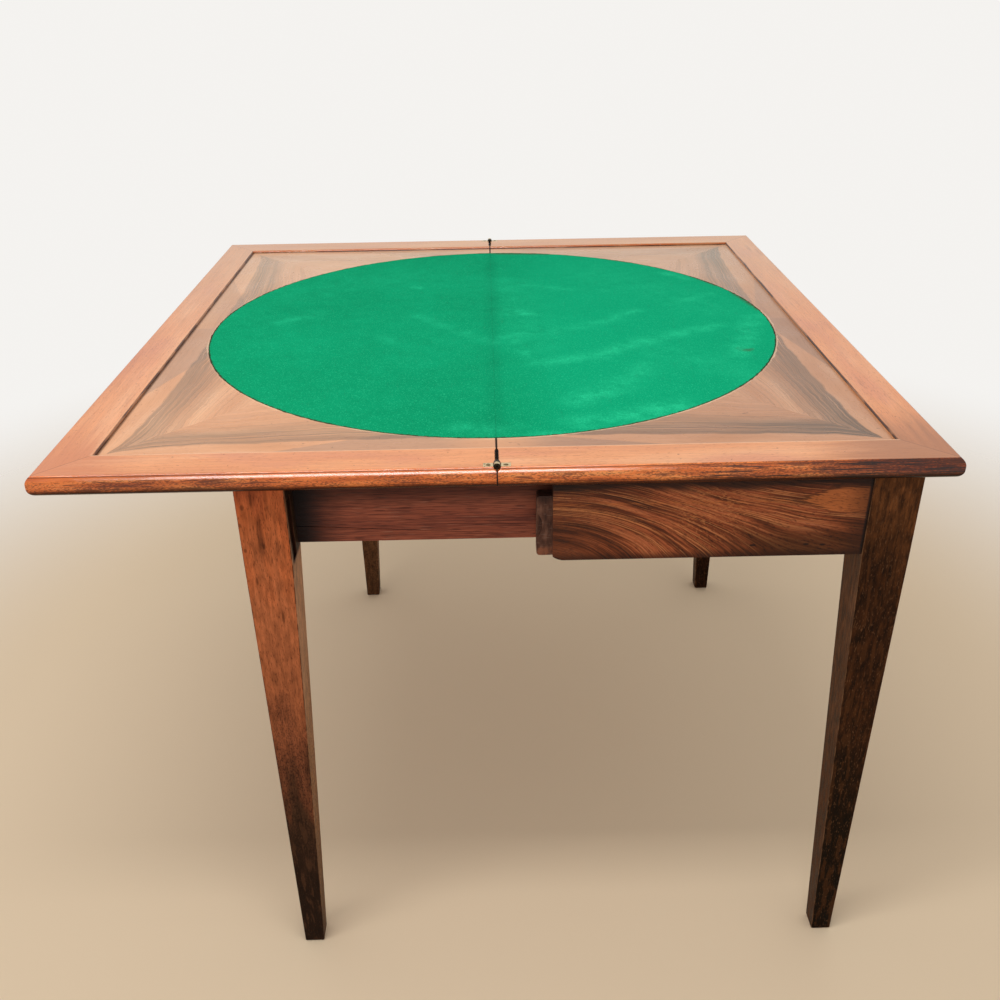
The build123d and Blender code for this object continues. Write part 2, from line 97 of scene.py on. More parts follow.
# %% Colour and node helpers
SETTING = {"Math": "operation", "VectorMath": "operation", "MixRGB": "blend_type",
           "MapRange": "interpolation_type", "Attribute": "attribute_name"}
TIMES, PLUS, MINUS, OVER = "Math MULTIPLY", "Math ADD", "Math SUBTRACT", "Math DIVIDE"
LARGER, SMALLER, SIZE_OF, ABOVE = "Math MAXIMUM", "Math MINIMUM", "Math ABSOLUTE", "Math GREATER_THAN"
RANGE, SOFT, RAMP = "MapRange", "MapRange SMOOTHSTEP", "ValToRGB"
MIX, DARKEN = "MixRGB", "MixRGB MULTIPLY"
# The materials and the world in the order they are drawn; new nodes go to the last one
DRAWN = []


def linear(colour):
    """An sRGB hex colour as linear red, green, blue and alpha; any other value stays what it is."""
    if not isinstance(colour, str):
        return colour
    shares = [int(colour[i:i + 2], 16) / 255 for i in (1, 3, 5)]
    return tuple(s / 12.92 if s <= 0.04045 else ((s + 0.055) / 1.055) ** 2.4 for s in shares) + (1,)


def draw_on(owner):
    """Empty the node tree of a material or the world, and draw there from now on."""
    owner.use_nodes = True
    owner.node_tree.nodes.clear()
    DRAWN.append(owner)


def add(kind, *values, out=0, stops=None, **named):
    """Add a node by its kind and setting; an input is a number, a hex colour or a linked output."""
    tree = DRAWN[-1].node_tree
    kind, _, setting = kind.partition(" ")
    made = tree.nodes.new("ShaderNode" + kind)
    if setting:
        setattr(made, SETTING[kind], setting)
    if stops:
        points = made.color_ramp.elements
        while len(points) < len(stops):
            points.new(1)
        for point, (at, colour) in zip(points, stops.items()):
            point.position = at
            point.color = linear(colour)
    pairs = list(zip(made.inputs, values))
    pairs += [(made.inputs[name.replace("_", " ")], value) for name, value in named.items()]
    for socket, value in pairs:
        if isinstance(value, bpy.types.NodeSocket):
            tree.links.new(value, socket)
        elif value is not None:
            socket.default_value = linear(value)
    return made.outputs[out] if made.outputs else made


print("walnut tan in linear light:", [round(v, 3) for v in linear("#D68D5C")[:3]])

# %% [markdown]
# A finish is mostly marks laid over a tone: pores, dirt, worn places. Each has a colour, a strength and a
# few rules that say where it shows, so `lay` takes a list of such layers. A rule is a mask from 0 to 1, or
# a value with the place where a soft step starts and the place where it ends.

# %% Layers
def start(name):
    """Start a material, and give the piece's own coordinates, together and one by one."""
    draw_on(bpy.data.materials.new(name))
    place = add("TexCoord", out="Object")
    return place, *add("SeparateXYZ", place).node.outputs


def mask(strength, *rules):
    """A strength where all the rules hold, fading to 0 where one of them doesn't."""
    shown = strength
    for rule in rules:
        if isinstance(rule, tuple) and shown is strength:
            shown = add(SOFT, *rule, 0, strength)
        else:
            shown = add(TIMES, shown, add(SOFT, *rule) if isinstance(rule, tuple) else rule)
    return shown


def lay(tone, *layers, way=MIX):
    """Lay colours over a tone, one after the other: each has a colour, a strength and its rules."""
    for colour, strength, *rules in layers:
        tone = add(way, mask(strength, *rules), tone, colour)
    return tone


def gap(value, centre):
    """How far a value lies from a centre, to either side."""
    return add(SIZE_OF, add(MINUS, value, centre))


def from_corner(a, b):
    """The distance between the ends of two sides that meet at a right angle."""
    return add("VectorMath LENGTH", add("CombineXYZ", a, b, 0), out="Value")


def surface(colour, rough, height, depth, shine=0.5, **gloss):
    """Finish the material: its relief is a height map times a depth in mm, and shine the specular level."""
    relief = add("Bump", Strength=1, Distance=depth * MM, Height=height)
    add("OutputMaterial", add("BsdfPrincipled", Base_Color=colour, Roughness=rough, Normal=relief,
                              Specular_IOR_Level=shine, **gloss))
    return DRAWN[-1]


def dress(material, *names):
    """Give CAD nodes a finish."""
    for name in names:
        for slot in nodes[name].material_slots:
            slot.material = material
    print(material.name, "on", len(names), "pieces")


print("a relief of 0.1 mm is a bump distance of", 0.1 * MM)

# %% [markdown]
# ## What all wood has
#
# Everything in wood is drawn out along the grain: the pores, the fine lines of each year and the broad
# bands of colour. So one noise texture, squeezed along the grain, gives all three at different sizes, in
# millimetres on the real board. Real walnut pores are about 0.2 mm wide, far less than a pixel here, so
# they are drawn 0.6 to 1 mm wide. Heights are given in millimetres under the surface of the top.

# %% Wood helpers
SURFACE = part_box("fixed_leaf_near_border")[1].z


def down(*depths):
    """Heights that lie so many millimetres under the surface of the top."""
    return tuple(SURFACE - depth * MM for depth in depths)


def streaks(place, run, width, length, seed=0, detail=3):
    """Noise drawn out along the grain; run is 0, 1 or 2 for X, Y or Z, and sizes are in millimetres."""
    scale = [1 / (width * MM)] * 3
    scale[run] = 1 / (length * MM)
    drawn = add("Mapping", place, (seed, seed * 1.7, seed * 0.6), None, scale)
    return add("TexNoise", drawn, Scale=1, Detail=detail)


def pores(place, run, seed, width, length, share):
    """Short dark dashes along the grain, from 0 to 1."""
    return add(SOFT, streaks(place, run, width, length, seed, 1), share, share + 0.1)


def spots(place, size, share, seed):
    """Scattered round marks, from 0 to 1; a higher share gives fewer."""
    moved = add("Mapping", place, (seed,) * 3, None, (1 / (size * MM),) * 3)
    return add(SOFT, add("TexNoise", moved, Scale=1), share, share + 0.07)


def blend(first, second, share):
    """Two patterns in one, with the first one's share."""
    return add(PLUS, add(TIMES, first, share), add(TIMES, second, 1 - share))


print("surface of the top at", round(SURFACE / MM, 1), "mm")

# %% [markdown]
# ## Floor and light
#
# The table is judged by its wood, so the room is plain: a pale floor that fades into the white of the
# room. The room lights everything evenly, a long soft lamp overhead gives the floor its shadow, and a
# window behind the camera shows only in the polish, as the white line along the rounded edge of the top.

# %% Floor
FLOOR_HALF, FADE_START, FADE_END = 4, 0.9, 2.2
floor_mesh = bpy.data.meshes.new("studio_floor")
corners = [(x * FLOOR_HALF, y * FLOOR_HALF, 0) for x, y in ((-1, -1), (1, -1), (1, 1), (-1, 1))]
floor_mesh.from_pydata(corners, [], [(0, 1, 2, 3)])
floor = put(floor_mesh)
# Matt painted board: it takes soft shadows, shows no reflection, and fades out before its edge
place = start("matt_painted_floor")[0]
reach = add("VectorMath LENGTH", place, out="Value")
painted = add("BsdfPrincipled", Base_Color="#ECD5B6", Roughness=0.9, Specular_IOR_Level=0.2)
gone = add(LARGER, add(SOFT, reach, FADE_START, FADE_END), add("NewGeometry", out="Backfacing"))
add("OutputMaterial", add("MixShader", gone, painted, add("BsdfTransparent")))
floor_mesh.materials.append(DRAWN[-1])
print("floor", 2 * FLOOR_HALF, "m wide, clear beyond", FADE_END, "m")

# %% Light
ROOM_LIGHT, ROOM_SEEN, LAMP_POWER, WINDOW_POWER = 0.66, 0.95, 16, 112
world = bpy.data.worlds.new("white_room")
bpy.context.scene.world = world
draw_on(world)
camera_ray = add("LightPath", out="Is Camera Ray")
glossy, through = (camera_ray.node.outputs[f"Is {kind} Ray"] for kind in ("Glossy", "Transmission"))
seen = add(LARGER, add(LARGER, camera_ray, glossy), through)
strength = add(RANGE, seen, 0, 1, ROOM_LIGHT, ROOM_SEEN)
add("OutputWorld", add("Background", "#FAF8F5", strength))


def soft_light(name, power, size, spot, aim):
    """A rectangular lamp that shines from one spot at another."""
    lamp = bpy.data.lights.new(name, "AREA")
    lamp.shape = "RECTANGLE"
    lamp.size, lamp.size_y = size
    lamp.energy = power
    made = put(lamp)
    made.location = spot
    made.rotation_euler = (Vector(aim) - made.location).to_track_quat("-Z", "Y").to_euler()
    return made


overhead = soft_light("overhead_softbox", LAMP_POWER, (1.55, 0.26), (-0.42, -0.85, 2.35), (0, -0.1, 0.75))
overhead.rotation_euler.z = 0
front = soft_light("window_behind_the_camera", WINDOW_POWER, (1.6, 1.05), (-0.4, -2.6, 2.15),
                   (-0.4, -0.485, 0.745))
front.visible_diffuse = front.visible_camera = False
print("room light", ROOM_LIGHT, "lamp", LAMP_POWER, "W, window", WINDOW_POWER, "W in the gloss only")

# %% [markdown]
# ## Border boards
#
# Six solid walnut boards frame the top, moulded to a thumbnail edge, mitred and French polished.
# Daylight has faded the flat top to a pinkish tan, but the moulded edge faces away from it and kept its
# orange brown and its dark grain. The surface normal tells the two apart, so one material serves all
# boards, and only the direction of the grain, the seed and a few colours change.

# %% Border walnut
RECESS_X, RECESS_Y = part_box("fixed_leaf_outer_border")[0].x, -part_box("fixed_leaf_near_border")[1].y


def faded_top(place, run, seed, holes):
    """The sun-bleached upper face: pinkish tan with fine pores and a few dark nicks."""
    tone = add(RAMP, streaks(place, run, 34, 260, seed),
               stops={0.3: "#DB8C5A", 0.5: "#EA9C66", 0.7: "#F0AB7A"})
    tone = lay(tone, ("#D98A66", 0.7, (streaks(place, run, 70, 210, seed + 4, 2), 0.5, 0.72)))
    lines = add(RANGE, streaks(place, run, 1.6, 60, seed + 1, 4), 0.35, 0.65, 0.9, 1.06)
    tone = lay(tone, (lines, 1), ("#8A4F35", 0.35, holes), way=DARKEN)
    return lay(tone, ("#6E3F28", 0.55, spots(place, 5, 0.7, seed)))


def moulded_side(place, run, seed, x, z, up):
    """The moulded edge and the underside: orange brown with dark dashes, painted shade low down, blackest
    at the lower arris.
    """
    tone = add(RAMP, streaks(place, run, 5, 60, seed + 2, 4),
               stops={0.3: "#C05A20", 0.45: "#DE702C", 0.58: "#EE823C", 0.72: "#F69C56"})
    # The dashes grow denser low on the edge, in cloudy patches, at the right and in one place on the left
    cloudy = add(RANGE, streaks(place, run, 7, 50, seed + 7), 0.3, 0.7, -0.07, 0.07)
    denser = add(PLUS, mask(0.12, (z, *down(12, 21.5))), cloudy)
    at_left = mask(0.045, (gap(x, -0.34), 0.13, 0.05))
    denser = add(PLUS, denser, add(LARGER, mask(0.075, (x, 0.14, 0.44)), at_left))
    fine = add(PLUS, streaks(place, run, 0.8, 3.2, seed + 5, 2), denser)
    bold = add(PLUS, streaks(place, run, 1.3, 24, seed + 8), denser)
    dashes = add(LARGER, mask(0.75, (fine, 0.49, 0.63)), mask(0.85, (bold, 0.57, 0.66)))
    # Polish has filled the grain where the edge turns up, except on the right, where it has worn away
    filled = add(LARGER, add(SOFT, z, *down(6, 4), 1, 0.15), add(SOFT, x, 0.08, 0.24))
    # Long cracks full of black wax run through the right-hand third, and a thin dark line lies above the
    # bright one
    cracks = streaks(place, run, 1.7, 60, seed + 12)
    tone = lay(tone, ("#5E2708", dashes, filled),
               ("#280F05", 0.85, (cracks, 0.54, 0.61), (x, 0.14, 0.26)),
               ("#6A2E12", 0.75, (gap(z, *down(1.4)), 0.0006, 0.0002)))
    # Painted shade darkens the lower part of the edge, where it turns down
    tone = lay(tone, ("#94704E", 0.45, (z, *down(13.5, 17.5))), way=DARKEN)
    # Painted shadow blackens the lower arris, but not the flat underside
    turned = add(RANGE, up, -0.98, -0.9)
    return lay(tone, ("#2A1006", 0.85, (z, *down(16.8, 19)), turned))


def border_walnut(name, run, seed, tint, wall_light_shade, foot_light_shade, rubbed):
    """French-polished walnut board: glossy, faded on top, dark in its pores, mitres and joint."""
    place, x, y, z = start(name)
    up = add("SeparateXYZ", place.node.outputs["Normal"], out="Z")
    holes = pores(place, run, seed, 0.8, 7, 0.6)
    top = lay(faded_top(place, run, seed, holes), (tint, 1), way=DARKEN)
    side = moulded_side(place, run, seed, x, z, up)
    # The outer boards' moulded ends face sideways and get painted shade
    if run == 1:
        side = lay(side, ("#42200E", 0.7))
    # The right-hand end was handled most: darker on top, nearly black on the edge
    ragged = streaks(place, run, 7, 90, seed + 9)
    rough_end = add(RANGE, ragged, 0.3, 0.7, -0.022, 0.022)
    end = add(PLUS, x, rough_end)
    near = add(SOFT, add(PLUS, y, rough_end), -0.33, -0.44)
    dull = mask(0.3, (gap(end, -0.35), 0.13, 0.04))
    black = mask(0.9, (end, 0.27, 0.43))
    side = lay(side, ("#8C7034", add(LARGER, black, dull)), way=DARKEN)
    # The far boards and the far ends of the others are paler, a painted reflection of the room, the inner
    # arris has a painted highlight, and dirt marks the mitre
    from_x = add(MINUS, add(SIZE_OF, x), RECESS_X)
    from_y = add(MINUS, add(SIZE_OF, y), RECESS_Y)
    inner = add(LARGER, from_x, from_y)
    top = lay(top, ("#A2643E", 0.75, (end, 0.31, 0.42), near), ("#C97549", 0.7, (end, -0.36, -0.44), near),
              ("#E0CBA0", 0.22, (y, -0.1, 0.4)), ("#FAC79A", rubbed, (inner, 0.0042, 0.0026)),
              ("#6B3E28", 0.45, (gap(from_x, from_y), 0.001, 0.0004)))
    # The little wall that steps down to the veneer has painted light and shade: dark on the near and
    # outer boards, orange on the far boards, which face the front, a darker foot of painted shade, but a
    # pale foot of painted highlight on the fixed leaf's outer board, and light streaks of painted highlight
    painted_wall = lay(wall_light_shade, (foot_light_shade, 1, (z, *down(2.2, 3.2))),
               ("#C98A5C", 0.55, (streaks(place, run, 9, 70, seed + 14), 0.5, 0.6)))
    wobble = add(TIMES, add(MINUS, ragged, 0.5), 0.3)
    tone = lay(side, (painted_wall, 0.9, (inner, 0.0035, 0.0028)), (top, 1, (add(PLUS, up, wobble), 0.82, 0.985)))
    # Dirt has blackened the wood of the joint and taken its polish
    joint = mask(0.95, (add(SIZE_OF, x), 0.0013, 0.0007), add(SOFT, z, *down(6, 2), 0.45, 1))
    tone = lay(tone, ("#0E0704", joint))
    smear = streaks(place, run, 25, 60, seed + 6)
    rough = add(LARGER, add(RANGE, smear, 0.3, 0.7, 0.12, 0.22), joint)
    # The polish stops where the edge turns under
    polish = add(SOFT, z, *down(15.5, 18.5), 0.4, 0.08)
    return surface(tone, rough, add(MINUS, add(TIMES, smear, 0.3), holes), 0.02, polish)


# The grain's direction, the seed, the top's tint, the wall's painted light and shade on its face and at its
# foot, and the strength of the painted highlight on the inner arris
BOARDS = {"fixed_leaf_near_border": (0, 1.3, "#FFFFFF", "#5A3019", "#5A3019", 0.6),
          "fixed_leaf_far_border": (0, 7.9, "#FAF8F2", "#C56A33", "#3A1C0E", 0.2),
          "fixed_leaf_outer_border": (1, 3.1, "#FFF8F0", "#4A2412", "#E0A878", 0),
          "folding_leaf_near_border": (0, 11.7, "#FFFDFB", "#5A3019", "#5A3019", 0.6),
          "folding_leaf_far_border": (0, 17.2, "#FAF8F2", "#C56A33", "#3A1C0E", 0.2),
          "folding_leaf_outer_border": (1, 23.6, "#FAF3EE", "#5A3019", "#3A1C0E", 0.2)}
for board, values in BOARDS.items():
    dress(border_walnut("polished_" + board, *values), board)

# %% [markdown]
# ## Dirt in the joint
#
# The two leaves meet with a gap of about a millimetre, which wax and dust have filled. A narrow bead of
# it stays on the fixed leaf's edge when the other leaf is lifted, and beside each hinge oil has crept out
# and set to a thin black skin. Both are pieces of their own and not painted on the boards, because dirt
# is matt, and polish over black would still show a grey reflection.

# %% Joint dirt
BEAD_INNER, BEAD_OUTER, UNDER_CLOTH = 0.57 * MM, -0.45 * MM, 0.401
HINGE_Y, HINGE_REACH = 0.4752, 0.0052
CRUST_START, CRUST_END, CRUST_INNER = 0.4365, 0.4703, 0.62 * MM


def drawn_along(name, strips):
    """Closed strips along Y as one mesh; each is its Y values and a ring of (x, z) corners."""
    points, faces = [], []
    for y, profile in strips:
        first, count, steps = len(points), len(profile), len(y)
        rings = np.stack([np.stack([x + 0 * y, y, z + 0 * y], axis=-1) for x, z in profile], axis=1)
        points += rings.reshape(-1, 3).tolist()
        last = first + (steps - 1) * count
        for i in range(first, last, count):
            faces += [(i + k, i + count + k, i + count + (k + 1) % count, i + (k + 1) % count)
                      for k in range(count)]
        faces += [tuple(range(first, first + count)), tuple(range(last, last + count))[::-1]]
    mesh = bpy.data.meshes.new(name)
    mesh.from_pydata(points, [], faces)
    return put(mesh)


def bead_strip(steps=600):
    """The bead: under the cloth, level with the veneer, then with the border out to its moulded end."""
    border_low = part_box("fixed_leaf_near_border")[0]
    leaf_end = -border_low.y
    y = np.linspace(0.6 * MM - leaf_end, leaf_end - 0.6 * MM, steps)
    out = np.abs(y)

    def moulding(start, rise):
        """How far the leaf's end has rounded off; its start inside the edge and its rise are in mm."""
        past = np.clip(1 + (out - leaf_end) / (start * MM), 0, 1)
        return rise * MM * (1 - np.sqrt(1 - past ** 2))

    top = SURFACE - moulding(5, 9)
    top = np.where(out < RECESS_Y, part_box("fixed_leaf_near_veneer")[1].z, top)
    top = np.where(out < UNDER_CLOTH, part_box("fixed_leaf_core")[1].z - 0.6 * MM, top)
    # It dips under each hinge, and small waves make it uneven
    top = np.where(np.abs(out - HINGE_Y) < HINGE_REACH, SURFACE - 4.2 * MM, top)
    top = top - (0.4 + 0.2 * np.sin(y * 173) * np.sin(y * 61) + 0.1 * np.sin(y * 720)) * MM
    low = np.minimum(border_low.z + 0.5 * MM + moulding(6, 10), top - MM)
    return y, [(BEAD_INNER, top), (BEAD_OUTER + 0.1 * MM, top), (BEAD_OUTER, top - 0.3 * MM),
               (BEAD_OUTER, low), (BEAD_INNER, low)]


def crust_strip(side, way, steps=80):
    """One ragged skin of oil beside the joint, from the field out to a hinge."""
    y = np.linspace(CRUST_START, CRUST_END, steps)[::way]
    reach = (1.3 + 0.4 * np.sin(y * 2900 + way) + 0.3 * np.sin(y * 6100 + 2 * side + way)) * MM
    reach = 0.8 * MM + reach * np.clip((y - CRUST_START) / (5 * MM), 0, 1) ** 0.5
    wide, near = (pick(side * reach, side * CRUST_INNER) for pick in (np.maximum, np.minimum))
    high, low = down(-0.05, 0.1)
    return way * y, [(wide, high), (near, high), (near, low), (wide, low)]


def wax_dirt(name):
    """Wax mixed with dust: nearly black, lumpy and matt."""
    place = start(name)[0]
    lumps = add("TexNoise", place, Scale=400, Detail=4)
    tone = add(RAMP, lumps, stops={0.35: "#080403", 0.65: "#1C100A"})
    return surface(tone, 0.85, lumps, 0.05, 0.1, IOR=1.45)


dirt = wax_dirt("wax_and_dust")
bead = drawn_along("dirt_in_the_joint", [bead_strip()])
bead.data.materials.append(dirt)
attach(bead, "fixed_frame")
for body, side in (("fixed_frame", 1), ("folding_leaf", -1)):
    crust = drawn_along("oil_crust_" + body, [crust_strip(side, -1), crust_strip(side, 1)])
    crust.data.materials.append(dirt)
    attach(crust, body)
print("bead", len(bead.data.vertices), "points, crusts", len(crust.data.vertices), "each")

# %% [markdown]
# ## Veneer of the field
#
# The corner pieces round the baize were cut from one stack of walnut leaves and laid to mirror each
# other. In every corner two dark bands run along the sides and meet in a point. To draw this, the shader
# measures how far a spot is from the nearest border, and how far from the other one. A ramp gives the
# band's two edges for each place along it, so it bends as the real one does, and streaks that follow the
# same two distances turn at the corner without any seam.

# %% Field veneer
BAND_SPAN = 0.3
# Along a band in tenths of BAND_SPAN: where its outer and inner edges are, in cm from the border
BAND_EDGES = [(0, 0.7, 0.9), (0.04, 1.2, 2.2), (0.09, 1.75, 5), (0.18, 2.2, 7.2), (0.3, 2.6, 7.6),
              (0.45, 2.85, 8), (0.7, 3.1, 9.2), (1, 3.4, 10)]


def veneer_place(place, x, y, seed):
    """Distances from the two borders, the part of the way across the band, and which arm this is."""
    from_side = add(MINUS, RECESS_X, add(SIZE_OF, x))
    from_end = add(MINUS, RECESS_Y, add(SIZE_OF, y))
    across, along = add(SMALLER, from_side, from_end), add(LARGER, from_side, from_end)
    moved = add("Mapping", place, (seed,) * 3, None, (26,) * 3)
    wobble = add("TexNoise", moved, Scale=1)
    bent = add(PLUS, across, add(RANGE, wobble, 0.25, 0.75, -0.0022, 0.0022))
    edges = add(RAMP, add(OVER, along, BAND_SPAN),
                stops={at: (low / 10, high / 10, 0, 1) for at, low, high in BAND_EDGES})
    low, high, _ = add("SeparateColor", edges).node.outputs
    low = add(TIMES, low, 0.1)
    width = add(LARGER, add(MINUS, add(TIMES, high, 0.1), low), 0.002)
    return across, along, add(OVER, add(MINUS, bent, low), width), add(ABOVE, from_side, from_end)


def field_veneer(name, seed):
    """Quartered walnut veneer under shellac: smooth and glossy, with soft dark bands that fan out."""
    place, x, y, z = start(name)
    across, along, share, arm = veneer_place(place, x, y, seed)
    # Streaks are laid along the band and spread with it, and each arm has its own
    laid = add("CombineXYZ", along, add(TIMES, share, 0.045), arm)
    lines = streaks(laid, 0, 3, 300, seed, 4)
    fine = streaks(laid, 0, 1.1, 220, seed + 3, 2)
    # A band is nearly all dark at its outer edge and breaks up into thinner and thinner streaks inwards
    cover = add(RANGE, share, 0, 1.7, 0.13, -0.15)
    dark = mask(0.38, (add(PLUS, lines, cover), 0.47, 0.6))
    body = mask(0.58, (add(PLUS, share, add(TIMES, lines, 0.8)), 1.5, 0.9))
    threads = mask(0.34, (streaks(laid, 0, 0.8, 260, seed + 9, 1), 0.54, 0.6))
    bright = add(SOFT, fine, 0.56, 0.64, 1, 0.5)
    # The arms along the far border are faint, and the fixed leaf's are deeper, most of all at their points
    far = add(ABOVE, y, 0)
    faint = add(RANGE, add(TIMES, arm, far), 0, 1, 1, 0.3)
    dark = add(PLUS, add(PLUS, dark, body), threads)
    dark = mask(dark, (share, -0.02, 0.04), (share, 3.2, 1.2), bright, faint)
    point = add(SOFT, along, 0.05, 0.2, 1, 0.68)
    deeper = add(LARGER, add(TIMES, point, add(RANGE, x, 0, 0.001)), 0.6)
    # Away from the corners a grey zone grows in from the border
    zone = add(MINUS, along, add(RANGE, x, 0, 0.001, 0.168, 0.215))
    zone = add(MINUS, add(TIMES, zone, add(RANGE, x, 0, 0.001, 0.34, 0.22)), across)
    zone = mask(0.6, (zone, -0.001, 0.0025), add(RANGE, far, 0, 1, 1, 0.65),
                add(SOFT, add(SIZE_OF, x), 0.01, 0.07, 0.3, 1))
    tone = add(RAMP, streaks(laid, 0, 22, 160, seed + 5),
               stops={0.3: "#D89768", 0.5: "#E2A375", 0.72: "#EAB083"})
    tone = lay(tone, ("#AC8267", zone), ("#7A5F47", dark, deeper))
    # The fixed leaf's wood is pinker and a little darker, and the far side is paler: a painted reflection
    # of the room
    pinker = mask(0.75, (x, 0, 0.11), add(RANGE, y, 0, 0.4, 1, 0.65))
    tone = lay(tone, (add(DARKEN, 1, tone, "#DAD8DE"), pinker), ("#E0CDB0", 0.25, (y, 0, 0.4)))
    holes = pores(laid, 0, seed, 0.8, 9, 0.63)
    tone = lay(tone, (add(RANGE, fine, 0.35, 0.65, 0.93, 1.05), 1), ("#8A5F48", 0.3, holes), way=DARKEN)
    # The veneer darkens within a few millimetres of the borders, least along the right-hand one, and glue
    # darkens the cut round the baize
    darker_by_border = add(RANGE, x, 0.42, 0.424, 0.75, 0.1)
    ragged = add("TexNoise", place, Scale=90)
    reach = add(PLUS, from_corner(x, y), add(RANGE, ragged, 0.3, 0.7, -0.001, 0.001))
    clogged = add("TexNoise", place, Scale=14, Detail=3)
    clogged = add(SOFT, clogged, 0.4, 0.56, 0.3, 0.9)
    cut = mask(clogged, (reach, 0.4014, 0.4003))
    joint = mask(0.9, (add(SIZE_OF, x), 0.0018, 0.0008))
    opened = add(LARGER, cut, joint)
    tone = lay(tone, ("#5F3A28", 0.5, spots(place, 6, 0.71, seed)),
               ("#4A2A1B", darker_by_border, (across, 0.004, 0.0006)),
               ("#F6CFA4", 1, (reach, 0.4034, 0.4016), add(RANGE, clogged, 0.3, 0.9, 0.6, 0.15)),
               ("#3A2116", opened))
    smear = streaks(laid, 0, 30, 70, seed + 8)
    rough = add(LARGER, add(RANGE, smear, 0.3, 0.7, 0.22, 0.36), opened)
    return surface(tone, rough, add(MINUS, smear, holes), 0.03, 0.45)


for side, seed in (("near", 2.1), ("far", 5.7)):
    for leaf in ("fixed", "folding"):
        veneer = f"{leaf}_leaf_{side}_veneer"
        dress(field_veneer("polished_" + veneer, seed), veneer)

# %% [markdown]
# ## Baize
#
# Baize is a woollen cloth, felted and cropped until no weave shows, glued to each leaf and cut to the
# circle with a knife. A plain half disc would show none of its thickness, so the cloth is a sheet of its
# own with a soft rounded rim, a hand-cut outline and a slight swell. The streaks that cards and sleeves
# have rubbed and the stains are values kept at each point of the sheet, because a few long strokes are
# easier to lay with numbers than with shader nodes.

# %% Baize sheets
LEAF_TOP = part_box("fixed_leaf_core")[1].z
CLOTH_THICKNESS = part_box("fixed_leaf_baize")[1].z - LEAF_TOP
CLOTH_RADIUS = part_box("fixed_leaf_baize")[1].x
JOINT_EDGE, RIM, LIFT, SWELL = 0.03 * MM, 0.8 * MM, 0.05 * MM, 0.06 * MM
ROWS, COLUMNS = 220, 96
# Rubbed streaks: from and to in mm, width in mm, strength
RUBS = [(27, 52, 56, 40, 26, 0.8), (16, -58, 96, -41, 20, 0.6), (96, -41, 162, 0, 22, 0.6),
        (162, 0, 212, 45, 20, 0.6), (31, -75, 46, -145, 14, 0.6), (61, -168, 142, -142, 24, 0.7),
        (142, -142, 209, -90, 26, 0.9), (209, -90, 320, -27, 24, 0.75), (104, -296, 153, -251, 34, 0.9),
        (144, -260, 202, -187, 30, 0.6), (31, -391, 80, -391, 16, 0.5), (96, -367, 154, -350, 36, 0.8),
        (148, -353, 217, -321, 34, 0.95), (322, -152, 366, -52, 26, 0.8), (356, -52, 391, 15, 28, 0.8),
        (31, 206, 110, 167, 18, 0.45), (102, 173, 182, 151, 18, 0.5), (290, 248, 320, 210, 18, 0.7),
        (275, 81, 349, 129, 20, 0.6), (-313, 29, -264, 55, 22, 0.55), (-113, 41, -18, -68, 14, 0.45),
        (-32, -55, 4, -86, 12, 0.5), (-125, 193, -115, 187, 9, 1), (-159, -47, -140, -74, 16, 0.3),
        (-40, -372, 20, -382, 26, 0.5), (30, 200, 60, -100, 60, 0.25), (180, 250, 330, 60, 90, 0.25),
        (220, -120, 330, -230, 60, 0.3), (-300, 150, -150, 260, 60, 0.15)]
# Reddish stains from polish that ran under the rim, and one dark spot
STAINS = [(14, 396, 100, 388, 12, 0.8), (330, -129, 345, -133, 5, 1), (398, 40, 380, 125, 7, 0.9),
          (362, 168, 330, 228, 6, 0.8), (240, 318, 200, 346, 5, 0.6)]


def stroke_strength(strokes, x, y):
    """How strong a mark is at each point, from 0 to 1: each stroke fades off to its sides and ends."""
    total = np.zeros_like(x)
    for x0, y0, x1, y1, width, strength in np.array(strokes) * (MM, MM, MM, MM, MM, 1):
        length = math.hypot(x1 - x0, y1 - y0)
        along = ((x - x0) * (x1 - x0) + (y - y0) * (y1 - y0)) / length ** 2
        nearest = np.clip(along, 0, 1)
        off = np.hypot(x - x0 - nearest * (x1 - x0), y - y0 - nearest * (y1 - y0))
        total = np.maximum(total, strength * np.exp(-(off / (width * 0.6)) ** 2))
    return total


def clustered(count, power=1.6):
    """Values from 0 to 1 that lie closer together at both ends."""
    t = np.linspace(-1, 1, count)
    return 0.5 + 0.5 * np.sign(t) * (1 - (1 - np.abs(t)) ** power)


